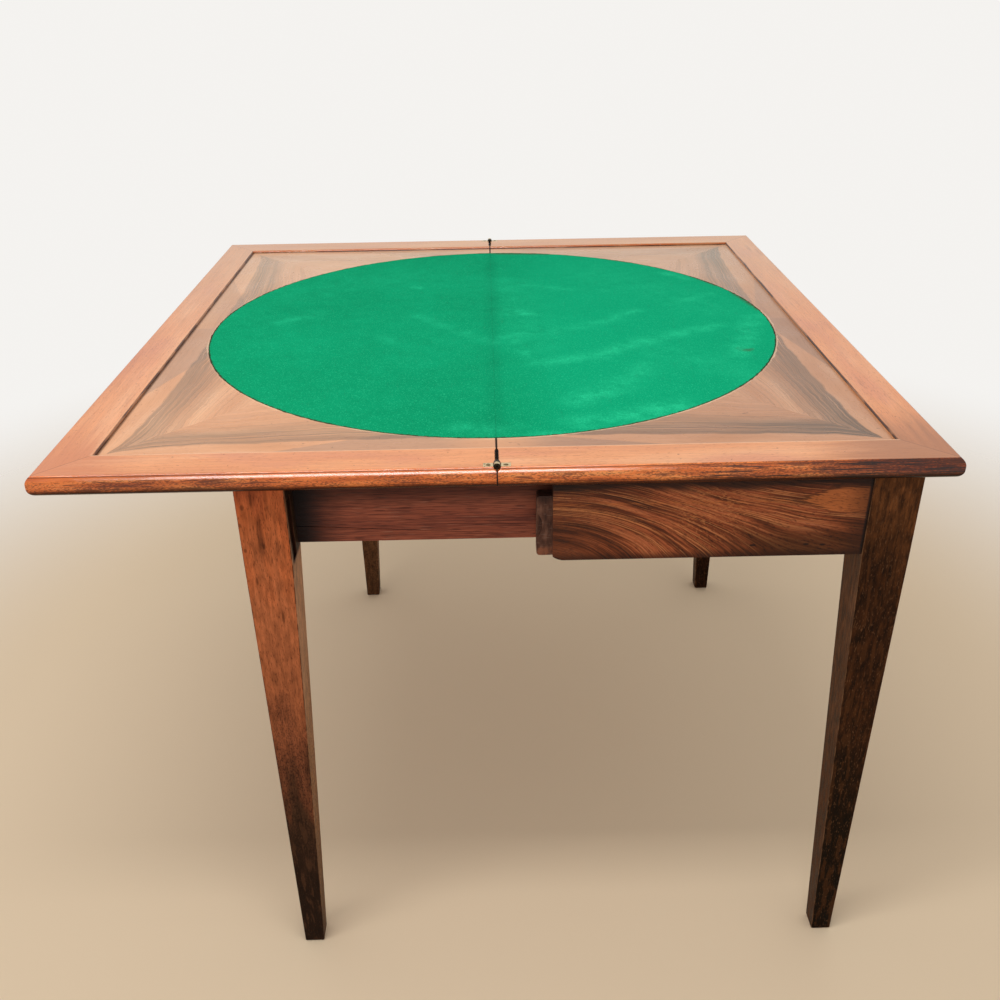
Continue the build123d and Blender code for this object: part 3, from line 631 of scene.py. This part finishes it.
def cloth_half(name, side):
    """Half disc of cloth on one leaf, side 1 for the fixed leaf and -1 for the folding one."""
    turn = (clustered(ROWS) - 0.5) * math.pi
    wave = (0.22 * np.sin(turn * 23 + side) + 0.18 * np.sin(turn * 57 + 2 * side)) * MM
    radius = CLOTH_RADIUS - 0.1 * MM + np.minimum(wave, 0.3 * MM)
    tip = np.sin(turn) * radius
    reach = np.maximum(np.cos(turn) * radius - JOINT_EDGE, 0.2 * MM)
    x = JOINT_EDGE + reach[:, None] * clustered(COLUMNS)[None, :]
    y = np.repeat(tip[:, None], COLUMNS, axis=1)
    edge = np.minimum((x - JOINT_EDGE) * 5, radius[:, None] - np.hypot(x, y))
    edge = np.clip(edge, 0, RIM) / RIM
    round_over = np.sqrt(1 - (1 - edge) ** 2)
    low_edge = np.where(x < JOINT_EDGE + MM, 0.97, 0.35)
    z = LEAF_TOP + CLOTH_THICKNESS * (low_edge + (1 - low_edge) * round_over)
    z += SWELL * np.sin(x * 61 + 1) * np.sin(y * 47 + 2 * side) * edge
    top = np.stack([side * x, y, z], axis=-1).reshape(-1, 3)
    low = top.copy()
    low[:, 2] = LEAF_TOP + LIFT
    cells = np.arange(ROWS * COLUMNS).reshape(ROWS, COLUMNS)
    quads = np.stack([cells[:-1, :-1], cells[:-1, 1:], cells[1:, 1:], cells[1:, :-1]], axis=-1)
    quads = quads.reshape(-1, 4)
    rim = np.concatenate([cells[0, :], cells[1:, -1], cells[-1, -2::-1], cells[-2:0:-1, 0]])
    after = np.roll(rim, -1)
    walls = np.stack([rim, rim + cells.size, after + cells.size, after], axis=-1)
    faces = np.concatenate([quads, quads[:, ::-1] + cells.size, walls])
    if side < 0:
        faces = faces[:, ::-1]
    points = np.concatenate([top, low])
    mesh = bpy.data.meshes.new(name)
    mesh.from_pydata(points.tolist(), [], faces.tolist())
    mesh.validate()
    for mark, strokes in (("rubbed", RUBS), ("stained", STAINS)):
        kept = mesh.attributes.new(mark, "FLOAT", "POINT").data
        kept.foreach_set("value", stroke_strength(strokes, points[:, 0], points[:, 1]).astype(np.float32))
    mesh.polygons.foreach_set("use_smooth", [True] * len(mesh.polygons))
    return put(mesh)

# %% [markdown]
# The cloth's finish has three sizes of detail. Fibres of about 1 mm give the grainy look, a soft mottle
# of 20 mm gives the uneven nap, and the streaks lighten both. Wool scatters light at grazing angles, so
# the shader has a little sheen and almost no gloss.

# %% Baize finish
def wool_baize(name):
    """Felted wool cloth: fibres, lint and rubbed nap, matt with a faint green sheen."""
    place, x, y, z = start(name)
    fibres = add("TexNoise", place, Scale=620, Detail=4, Roughness=0.7)
    clumps = add("TexNoise", place, Scale=190, Detail=3, Roughness=0.6)
    mottle = add("TexNoise", place, Scale=38, Detail=4, Roughness=0.6)
    broad = add("TexNoise", place, Scale=7)
    tone = add(RAMP, blend(mottle, broad, 0.5), stops={0.32: "#059868", 0.5: "#07A06E", 0.68: "#0AA875"})
    # Rubbed streaks are broken up by the nap. The half that was used more has a slightly lighter nap.
    broken = add(RANGE, add(PLUS, mottle, add(TIMES, clumps, 0.5)), 0.6, 0.95, 0.15, 1.15)
    speckle = add(RANGE, spots(place, 2.2, 0.52, 8), 0, 1, 0.8, 1.4)
    rubbed = mask(add("Attribute rubbed", out="Fac"), broken, speckle)
    tone = lay(tone, ("#06905F", 0.4, (y, 0, -0.36)), ("#08B07D", 0.6, (x, -0.02, 0.12)),
               ("#25C890", rubbed))
    tone = lay(tone, (add(RANGE, fibres, 0.35, 0.65, 0.9, 1.08), 1), way=DARKEN)
    # Folding has pressed a darker crease along the joint, and the cut rim has gone brown
    lint = add(PLUS, spots(place, 1.6, 0.59, 3), spots(place, 3, 0.68, 5))
    from_joint = add(SIZE_OF, x)
    crease = mask(0.13, (from_joint, 0.017, 0.001))
    line = mask(0.4, (from_joint, 0.001, 0.0002), (add(SIZE_OF, y), 0.33, 0.4))
    reach = add(PLUS, from_corner(x, y), add(RANGE, clumps, 0.3, 0.7, -0.0012, 0.0012))
    stained = mask(add("Attribute stained", out="Fac"), add(RANGE, clumps, 0.35, 0.65, 0.4, 1))
    tone = lay(tone, ("#34D69C", 0.5, lint), ("#07573B", add(LARGER, crease, line)),
               ("#2E3A20", 0.85, (reach, CLOTH_RADIUS - 2.2 * MM, CLOTH_RADIUS - 0.2 * MM)),
               ("#4A3A22", stained))
    return surface(tone, 1, add(PLUS, fibres, clumps), 0.4, 0.03, Sheen_Weight=0.03,
                   Sheen_Roughness=0.5, Sheen_Tint="#22C48A")


baize = wool_baize("felted_wool_baize")
for leaf, side in (("fixed_leaf", 1), ("folding_leaf", -1)):
    cloth = cloth_half(leaf + "_baize_cloth", side)
    cloth.data.materials.append(baize)
    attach(cloth, "fixed_frame" if side > 0 else "folding_leaf")
    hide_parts(leaf + "_baize")
    print(cloth.name, len(cloth.data.vertices), "points")

# %% [markdown]
# ## Swirl veneer on the rails
#
# The fixed rails are faced with walnut from near the root, where the grain swirls. Its lines bend in
# wide arcs round a heart below the open end, and flatten towards the leg. With lengths to the right
# slowly compressed, each line keeps one distance from that heart, so this distance is the coordinate
# across the grain. Streaks then follow the curve by themselves, which a straight grain with added noise
# never does.

# %% Rail veneer
HEART_X, HEART_Z = 0.027, 0.589
# How many times wider than high the arcs are, where lengths start to shrink, and how abruptly
WIDER, COMPRESSED_FROM, ABRUPT = 1.9, 0.14, 4
# How far each growth ring is from the heart, in metres, and how light it is
RINGS = [(0.03, 0.7), (0.047, 0.62), (0.056, 0.3), (0.06, 0.15), (0.066, 0.5), (0.073, 0.12),
         (0.079, 0.4), (0.086, 0.85), (0.092, 0.65), (0.096, 0.35), (0.102, 0.45), (0.107, 0.35),
         (0.111, 0.7), (0.116, 0.4), (0.1225, 0.1), (0.128, 0.4), (0.135, 0.6), (0.15, 0.5),
         (0.165, 0.35), (0.19, 0.3)]
NAIL_HOLES = [(0.3425, 0.6325), (0.361, 0.6315), (0.283, 0.6325)]


def swirl(spot, z, seed):
    """Distance from the swirl's heart, in metres: the grain's lines keep it constant."""
    side = add(OVER, add(MINUS, spot, HEART_X), WIDER)
    squeeze = add(PLUS, add("Math POWER", add(OVER, side, COMPRESSED_FROM), ABRUPT), 1)
    side = add(OVER, side, add("Math POWER", squeeze, 1 / ABRUPT))
    reach = from_corner(side, add(MINUS, z, HEART_Z))
    bend = add("TexNoise", add("CombineXYZ", add(TIMES, spot, 0.5), z, seed), Scale=14, Detail=1)
    return add(PLUS, reach, add(RANGE, bend, 0.3, 0.7, -0.0022, 0.0022))


def leg_end(tone, spot, z, lines):
    """The near rail's right-hand end: a light wedge, dark heartwood, nail holes and painted shade."""
    # Plain sapwood shows as an orange wedge by the leg, with its point to the left
    width = mask(0.0165, (spot, 0.322, 0.375))
    depth = add(MINUS, width, gap(z, 0.688))
    depth = add(PLUS, depth, add(RANGE, lines, 0.3, 0.7, -0.004, 0.004))
    low = add(SOFT, z, *down(78, 116))
    # Beside the leg the rail gets painted shade, nearly black where it meets the leg
    tone = lay(tone, ("#C26D38", 0.8, (depth, -0.0025, 0.0025)),
               ("#3A1C0C", 0.6, (add(SIZE_OF, depth), 0.0026, 0.001), (spot, 0.3, 0.33)),
               ("#452208", 0.87, (spot, 0.19, 0.33), low),
               ("#34180A", 0.6, (spot, 0.372, 0.405)), ("#120805", 0.9, (spot, 0.4025, 0.405)))
    for hole_x, hole_z in NAIL_HOLES:
        flatter = add(TIMES, add(MINUS, z, hole_z), 2.4)
        away = from_corner(add(MINUS, spot, hole_x), flatter)
        tone = lay(tone, ("#170C08", 0.85, (away, 0.0045, 0.002)))
    return tone


def figured_rail(name, along_y, seed, near):
    """Root-cut walnut veneer, dull old wax: brown with fine orange swirl lines and dirty edges."""
    place, x, y, z = start(name)
    spot = add(SIZE_OF, y) if along_y else x
    reach = swirl(spot, z, seed)
    laid = add("CombineXYZ", spot, reach, seed * 0.01)
    broad = streaks(laid, 0, 6, 60, seed)
    lines = streaks(laid, 0, 1.2, 80, seed + 2, 4)
    # The growth rings from the heart outwards, light and dark
    rings = add(RAMP, add(TIMES, reach, 5), stops={at * 5: (shade,) * 3 + (1,) for at, shade in RINGS})
    mixed = blend(add("SeparateColor", rings), broad, 0.3)
    mixed = add(PLUS, mixed, add(RANGE, lines, 0.3, 0.7, -0.15, 0.15))
    tone = add(RAMP, mixed, stops={0.26: "#45200F", 0.4: "#733719", 0.5: "#9C4F2B", 0.62: "#B8633A",
                                   0.8: "#D07C52"})
    # Painted shade darkens the left end, thin bright lines ring the swirl, and orange spots lie above its
    # right-hand end
    crisp = streaks(laid, 0, 0.8, 60, seed + 15, 1)
    bright = streaks(laid, 0, 0.8, 90, seed + 7, 1)
    speck = streaks(laid, 0, 1.4, 4, seed + 11, 2)
    patch = add("VectorMath DISTANCE", add("CombineXYZ", spot, z, 0), (0.235, 0.676, 0), out="Value")
    tone = lay(tone, ("#3A1C0A", 0.66, (spot, 0.17, 0.05)), ("#4A2410", 0.55, (crisp, 0.56, 0.64)),
               ("#D88A54", 0.6, (bright, 0.57, 0.63), (reach, 0.066, 0.09)),
               ("#D5854E", 0.75, (gap(reach, 0.098), 0.0011, 0.0003), (spot, 0.2, 0.16)),
               ("#D5854C", 0.5, (speck, 0.52, 0.66), (patch, 0.06, 0.015)))
    if near:
        tone = leg_end(tone, spot, z, lines)
    # Dirt has gathered along the lower edge, and under the top lies a painted shadow with a ragged border
    ragged = add(PLUS, z, add(RANGE, broad, 0.3, 0.7, -0.004, 0.004))
    tone = lay(tone, ("#2C1406", 0.8, (z, *down(120, 131.5))), ("#180B05", 0.92, (ragged, *down(52, 39.5))))
    holes = pores(laid, 0, seed, 0.6, 6, 0.58)
    tone = lay(tone, ("#5C301A", 0.55, holes), way=DARKEN)
    return surface(tone, add(RANGE, lines, 0.3, 0.7, 0.55, 0.4), add(MINUS, lines, holes), 0.12, 0.12)


dress(figured_rail("root_walnut_near_rail", False, 1, True), "fixed_near_rail_veneer")
dress(figured_rail("root_walnut_far_rail", False, 6.4, False), "fixed_far_rail_veneer")
dress(figured_rail("root_walnut_apron", True, 3.2, False), "front_apron_veneer")

# %% [markdown]
# ## Veneer of the shut table's top
#
# When the leaf folds over, its other face becomes the top of the table. It isn't in the picture, so it
# has the plain finish such a face usually has: leaves of straight walnut, laid edge to edge with every
# second leaf turned over, and the same polish as the borders.

# %% Shut top
def matched_veneer(name, seed, leaf=0.1435):
    """Straight walnut leaves, matched in pairs along Y, French polished."""
    place, x, y, z = start(name)
    bow = add(TIMES, add(TIMES, x, x), 0.35)
    laid = add("CombineXYZ", x, add(PLUS, add("Math PINGPONG", y, leaf), bow), 0)
    broad = streaks(laid, 0, 16, 300, seed)
    lines = streaks(laid, 0, 2.4, 220, seed + 2, 4)
    tone = add(RAMP, blend(broad, lines, 0.65),
               stops={0.34: "#5B3019", 0.46: "#8B4F2C", 0.56: "#A9653A", 0.7: "#BF7C4C"})
    holes = pores(laid, 0, seed, 0.8, 10, 0.62)
    tone = lay(tone, ("#4A2A1A", 0.4, holes), way=DARKEN)
    return surface(tone, add(RANGE, broad, 0.3, 0.7, 0.32, 0.24), add(MINUS, lines, holes), 0.04,
                   Coat_Weight=0.35, Coat_Roughness=0.12, Coat_IOR=1.5)


dress(matched_veneer("polished_shut_top_veneer", 4), "folding_leaf_outer_veneer")

# %% [markdown]
# ## Sliding rails
#
# The rails of the sliding frame are plain, straight-grained walnut. They spend most of their life inside
# the table, so they were never polished, only waxed, and have kept a reddish, slightly purple brown.

# %% Plain walnut
def plain_walnut(name, run, seed):
    """Straight-grained walnut, planed and waxed: satin, with level pores and a few light scratches."""
    place, x, y, z = start(name)
    broad = streaks(place, run, 22, 320, seed)
    lines = streaks(place, run, 1.8, 90, seed + 2, 4)
    tone = add(RAMP, blend(broad, lines, 0.6),
               stops={0.34: "#723729", 0.47: "#964D36", 0.58: "#AC5E43", 0.7: "#BC6D4E"})
    holes = pores(place, run, seed, 0.8, 26, 0.54)
    tone = lay(tone, ("#4A2416", 0.6, holes), way=DARKEN)
    scratch = streaks(place, run, 0.9, 30, seed + 5, 1)
    dashes = streaks(place, run, 1, 60, seed + 9, 2)
    # Light scratches and dark dashes, and painted shadow from the top along the upper part
    tone = lay(tone, ("#C98E70", 0.45, (scratch, 0.68, 0.76)), ("#3C1B12", 0.55, (dashes, 0.56, 0.63)),
               ("#1E0D07", 0.7, (z, *down(90, 60))))
    if run == 0:
        # Painted shade blackens the long rails beside their legs
        tone = lay(tone, ("#0A0402", 0.97, (x, -0.165, -0.222)))
    return surface(tone, add(RANGE, lines, 0.3, 0.7, 0.6, 0.45), add(MINUS, lines, holes), 0.1, 0.12)


dress(plain_walnut("waxed_walnut_rail", 0, 1.5), "sliding_near_rail")
dress(plain_walnut("waxed_walnut_rail_far", 0, 8.5), "sliding_far_rail")
dress(plain_walnut("waxed_walnut_back_rail", 1, 4.5), "sliding_back_rail")

# %% [markdown]
# ## Rail cores and their tongues
#
# The tongue at the free end of each fixed rail slides into a slot in the sliding leg when the frame is
# shut. Its face was rubbed grey brown, with a fresh orange chip at its lower end and a few scratches.

# %% Rail core
def rubbed_core(name, seed):
    """Sawn walnut, dark with handling: nearly matt, with scratches across the tongue's face."""
    place, x, y, z = start(name)
    mottle = streaks(place, 2, 5, 14, seed, 5)
    tone = add(RAMP, mottle, stops={0.3: "#40261B", 0.5: "#5E3B2C", 0.7: "#7C5442"})
    patch = add(SOFT, mottle, 0.42, 0.55, 0.2, 1)
    scratch = streaks(place, 0, 0.8, 9, seed + 3, 1)
    tone = lay(tone, ("#92573B", 0.8, (z, *down(117, 123)), patch), ("#8A6E60", 0.5, (scratch, 0.64, 0.72)),
               ("#21130D", 0.75, (z, *down(66, 53))))
    return surface(tone, 0.62, mottle, 0.15, 0.1)


dress(rubbed_core("rubbed_walnut_core", 2), "fixed_near_rail", "fixed_far_rail")

# %% [markdown]
# ## Legs
#
# The legs are square walnut, tapered below the rails. Mops, shoes and old polish have blackened their
# lower halves. A value that runs down the leg chooses the colour, and noise shifts it so that the change
# isn't a straight line. The faces that look towards the table's middle get lighter, greyer tones:
# painted light, for the light they catch from the floor and the sides.

# %% Leg walnut
LEG_SPAN = 0.75


def painted_slot_shade(x, y, z, turned):
    """Painted shade on a sliding leg: beside the rail on its inner face, and in the slot for the tongue."""
    side = add(SIZE_OF, y)
    beside = mask(0.93, (z, *down(137, 129)), (side, 0.4502, 0.4485), turned)
    slot = mask(0.95, (gap(side, 0.4352), 0.012, 0.011), (x, -0.25, -0.248), add(MINUS, 1, turned))
    return add(LARGER, beside, slot)


def leg_walnut(name, tones, lit_inner_tones, inward, seed, contrast=1, worn=0, marks=()):
    """Waxed walnut leg: mottled, darker to the foot; inward is the way its inner face looks along X."""
    place, x, y, z = start(name)
    shift = streaks(place, 2, 16, 90, seed, 4)
    height = add(PLUS, z, add(RANGE, shift, 0.25, 0.75, -0.07, 0.07))
    outside, inside = (add(RAMP, add(OVER, height, LEG_SPAN), stops=colours)
                       for colours in (tones, lit_inner_tones))
    turned = add(TIMES, add("SeparateXYZ", place.node.outputs["Normal"], out="X"), inward)
    turned = add(SOFT, turned, 0.4, 0.8)
    lines = streaks(place, 2, 2.4, 40, seed + 1, 4)
    ribs = add(RANGE, lines, 0.36, 0.64, 1 - 0.18 * contrast, 1 + 0.15 * contrast)
    mottle = streaks(place, 2, 6, 18, seed + 5, 6)
    mottle = add(RANGE, mottle, 0.36, 0.64, 1 - 0.26 * contrast, 1 + 0.24 * contrast)
    holes = pores(place, 2, seed, 0.8, 6, 0.6)
    # Faces that look inward take the lighter tones: painted light
    tone = lay(outside, (inside, turned))
    tone = lay(tone, (ribs, 1), (mottle, 1), ("#4A2A1B", 0.5, holes), way=DARKEN)
    # Worn patches let browner wood through, and small scuffs are nearly bare
    patches = add(SOFT, streaks(place, 2, 6, 34, seed + 11, 6), 0.5, 0.6)
    bare, rules = "#5A3418", [patches]
    if inward == 1:
        # The sliding legs are worn at the foot alone, below a ragged zone of dark specks
        specks = streaks(place, 2, 1.6, 3.6, seed + 13)
        tone = lay(tone, ("#22120A", 0.6, (specks, 0.5, 0.6), (height, 0.48, 0.32)))
        bare, rules = "#5A3A26", [patches, (z, 0.34, 0.24)]
    scuffs = streaks(place, 2, 1.4, 5, seed + 8)
    tone = lay(tone, (bare, worn, *rules), ("#80583A", 0.22 * contrast, (scuffs, 0.57, 0.72)))
    for mark_x, mark_z, half_width, half_height in marks:
        away = add("Mapping", add("CombineXYZ", x, z, 0), (-mark_x / half_width, -mark_z / half_height, 0),
                   None, (1 / half_width, 1 / half_height, 1))
        away = add("VectorMath LENGTH", away, out="Value")
        tone = lay(tone, ("#2E140A", 0.5, (away, 1.2, 0.5)))
    if inward == 1:
        # Painted shade beside the rail and in the tongue's slot
        tone = lay(tone, ("#100704", painted_slot_shade(x, y, z, turned)))
    return surface(tone, add(RANGE, mottle, 0.7, 1.3, 0.42, 0.6), add(MINUS, lines, holes), 0.15, 0.05)


# Colours from the foot, 0, to the top, 1
RED_LEG = {0: "#22130B", 0.18: "#27160C", 0.34: "#42291A", 0.47: "#844A2F", 0.6: "#A35C38",
           0.76: "#B8683F", 0.9: "#BE6336", 1: "#AE5631"}
RED_LIT_INNER = {0: "#4E3620", 0.35: "#9A6C48", 0.8: "#BE8D69", 1: "#5E3520"}
DARK_LEG = {0: "#120600", 0.2: "#150800", 0.38: "#200F03", 0.55: "#371C09", 0.75: "#2E1605",
            1: "#643A1C"}
RED_LEG_FAR = {0: "#583A24", 0.2: "#68462E", 0.45: "#7E4F36", 0.8: "#A06040", 1: "#884A30"}
DARK_LEG_FAR = {0: "#220F04", 0.2: "#260F05", 0.5: "#3C1C0B", 0.8: "#3A1E0E", 1: "#55301A"}
DARK_LIT_INNER = {0: "#40281A", 0.4: "#503422", 0.8: "#60412D", 1: "#4A2A18"}
# Dents and knots on the near sliding leg: where they are and half their width and height, in metres
LEG_MARKS = [(-0.2605, 0.655, 0.004, 0.032), (-0.276, 0.694, 0.0022, 0.004), (-0.281, 0.672, 0.002, 0.003),
             (-0.279, 0.64, 0.002, 0.003), (-0.258, 0.645, 0.002, 0.004), (-0.2715, 0.6, 0.0016, 0.006),
             (-0.2655, 0.705, 0.0016, 0.012), (-0.2475, 0.55, 0.0016, 0.01)]
dress(leg_walnut("waxed_red_walnut_leg", RED_LEG, RED_LIT_INNER, 1, 1.2, 0.8, 0.4, LEG_MARKS),
      "sliding_near_leg")
dress(leg_walnut("waxed_red_walnut_leg_far", RED_LEG_FAR, RED_LIT_INNER, 1, 5.2), "sliding_far_leg")
dress(leg_walnut("waxed_dark_walnut_leg", DARK_LEG, DARK_LIT_INNER, -1, 2.9, 1.8, 0.34), "fixed_near_leg")
dress(leg_walnut("waxed_dark_walnut_leg_far", DARK_LEG_FAR, DARK_LIT_INNER, -1, 7.3, 1.8, 0.2), "fixed_far_leg")

# %% [markdown]
# ## Wood inside the frame
#
# The parts that nobody was meant to see are pine, left from the saw and the plane: the panels under
# the veneer, the apron, the ties, the runners and the glue blocks. Pine has wide, soft bands of honey
# colour, hardly any pores, and a grey bloom of dust after two centuries.

# %% Inner wood
def aged_pine(name, run, seed):
    """Unfinished pine: matt, with wide year bands and a film of dust."""
    place, x, y, z = start(name)
    mixed = blend(streaks(place, run, 9, 500, seed), streaks(place, run, 2.2, 260, seed + 2), 0.7)
    tone = add(RAMP, mixed, stops={0.36: "#80582F", 0.48: "#A9804D", 0.6: "#BD9763"})
    dust = add("TexNoise", place, Scale=14, Detail=4)
    dust = add(SOFT, dust, 0.4, 0.7, 0.1, 0.6)
    # Old glue shows as a dark line in the narrow gap round the baize
    ring = mask(0.95, (gap(from_corner(x, y), 0.4002), 0.002, 0.0012),
                add(ABOVE, z, LEAF_TOP - 0.5 * MM))
    tone = lay(tone, ("#8F7B60", dust), ("#1F120B", ring))
    return surface(tone, 0.8, mixed, 0.25, IOR=1.45)


dress(aged_pine("planed_pine_panel", 0, 1), "fixed_leaf_core", "folding_leaf_core")
dress(aged_pine("planed_pine_cross_pieces", 1, 3), "front_apron", "open_end_tie", "sliding_inner_tie")
dress(aged_pine("sawn_pine_runners", 0, 5), "near_slide_runner", "far_slide_runner", "top_glue_blocks")

# %% [markdown]
# ## Brass hinges and iron screws
#
# The two small hinges are cast brass, filed flush with the wood. Old brass is dull yellow with brown
# tarnish in every corner and bright only where it rubs. Oil has turned the knuckle black, which at this
# size reads as the gap between its joints. The screws under the top are plain iron.

# %% Metals
def tarnished_brass(name, bare, tarnish, share):
    """Cast brass, filed and tarnished: patchy brown over dull yellow, rough where it is brown."""
    place, x, y, z = start(name)
    up = add("SeparateXYZ", place.node.outputs["Normal"], out="Z")
    patchy = add("TexNoise", place, Scale=420, Detail=4)
    brown = mask(0.8, (patchy, share - 0.08, share + 0.12))
    # The knuckle is black with old oil, but for the front of its crown, which hands have rubbed
    crown = add(TIMES, add(RANGE, z, *down(-2.2, -2.6)), add(RANGE, add(SIZE_OF, y), 0.475, 0.4755))
    crown = add(TIMES, crown, add(RANGE, up, 0.5, 0.7))
    knuckle = add(MINUS, mask(0.97, (add(SIZE_OF, x), 0.0045, 0.0036)), crown)
    tone = lay(bare, (tarnish, brown), ("#0C0805", knuckle))
    filed = streaks(place, 1, 0.5, 6, 2, 1)
    return surface(tone, add(RANGE, brown, 0, 0.8, 0.34, 0.6), filed, 0.03, Metallic=1)


def dull_iron(name):
    """Hand-filed iron screws with a brown bloom of rust."""
    place = start(name)[0]
    patchy = add("TexNoise", place, Scale=300, Detail=4)
    rust = mask(0.7, (patchy, 0.45, 0.65))
    tone = lay("#6E6B66", ("#5A3A26", rust))
    return surface(tone, add(RANGE, rust, 0, 0.7, 0.42, 0.75), patchy, 0.05, Metallic=0.85)


brass = tarnished_brass("tarnished_cast_brass", "#DCC79E", "#7A6444", 0.56)
blackened = tarnished_brass("blackened_brass", "#5E5038", "#231A10", 0.42)
brown = tarnished_brass("brown_brass", "#A08A62", "#43351F", 0.5)
dress(brass, *(f"{side}_hinge_{part}_plate" for side in ("near", "far") for part in ("fixed", "folding")))
dress(blackened, "near_hinge_pin", "far_hinge_pin")
dress(brown, "fixed_hinge_screws", "folding_hinge_screws")
dress(dull_iron("rusted_iron_screws"), "runner_screws", "top_fixing_screws", "sliding_rail_screws")

# %% [markdown]
# ## Softened arrises
#
# No edge of an old table is sharp. A bevel modifier rounds each one by a fraction of a millimetre, and
# gives the new narrow faces a second material: the same finish with the bare, lighter wood or the dirt
# of a real arris in patches. The CAD mesh itself isn't touched. The weld comes first, because the loaded
# mesh is split along its edges and a bevel needs them joined.

# %% Arrises
WELD_GAP, SHARP = 0.02 * MM, math.radians(35)


def rubbed_twin(material, bare, share):
    """A copy of a finish with bare or dirty wood showing through in patches."""
    twin = material.copy()
    twin.name = material.name + "_rubbed"
    DRAWN.append(twin)
    shader, place = (next(n for n in twin.node_tree.nodes if n.type == kind)
                     for kind in ("BSDF_PRINCIPLED", "TEX_COORD"))
    colour = shader.inputs["Base Color"]
    patches = add("TexNoise", place.outputs["Object"], Scale=70, Detail=4)
    patches = add(SOFT, patches, 0.4, 0.62, 0.1, share)
    twin.node_tree.links.new(add(MIX, patches, colour.links[0].from_socket, bare), colour)
    return twin


def soften(name, width, bare, share):
    """Round a CAD node's edges by a width in millimetres, and rub the polish off them."""
    piece = nodes[name]
    piece.data.materials.append(rubbed_twin(piece.material_slots[0].material, bare, share))
    joined = piece.modifiers.new("joined", "WELD")
    joined.merge_threshold = WELD_GAP
    rounded = piece.modifiers.new("rounded", "BEVEL")
    rounded.width = width * MM
    rounded.segments = 3
    rounded.limit_method = "ANGLE"
    rounded.angle_limit = SHARP
    rounded.use_clamp_overlap = False
    rounded.material = 1
    piece.modifiers.new("even_shading", "WEIGHTED_NORMAL").keep_sharp = False


SOFTENED = {
    ("fixed_near_leg", "fixed_far_leg"): (0.9, "#7D5B40", 0.75),
    ("sliding_near_leg", "sliding_far_leg"): (0.9, "#2E1A10", 0.8),
    ("fixed_near_rail", "fixed_far_rail"): (0.4, "#7B5A48", 0.5),
    ("sliding_near_rail", "sliding_far_rail", "sliding_back_rail"): (0.5, "#8C5A44", 0.5),
}
for names, (width, bare, share) in SOFTENED.items():
    for name in names:
        soften(name, width, bare, share)
print("softened", sum(len(names) for names in SOFTENED), "pieces")
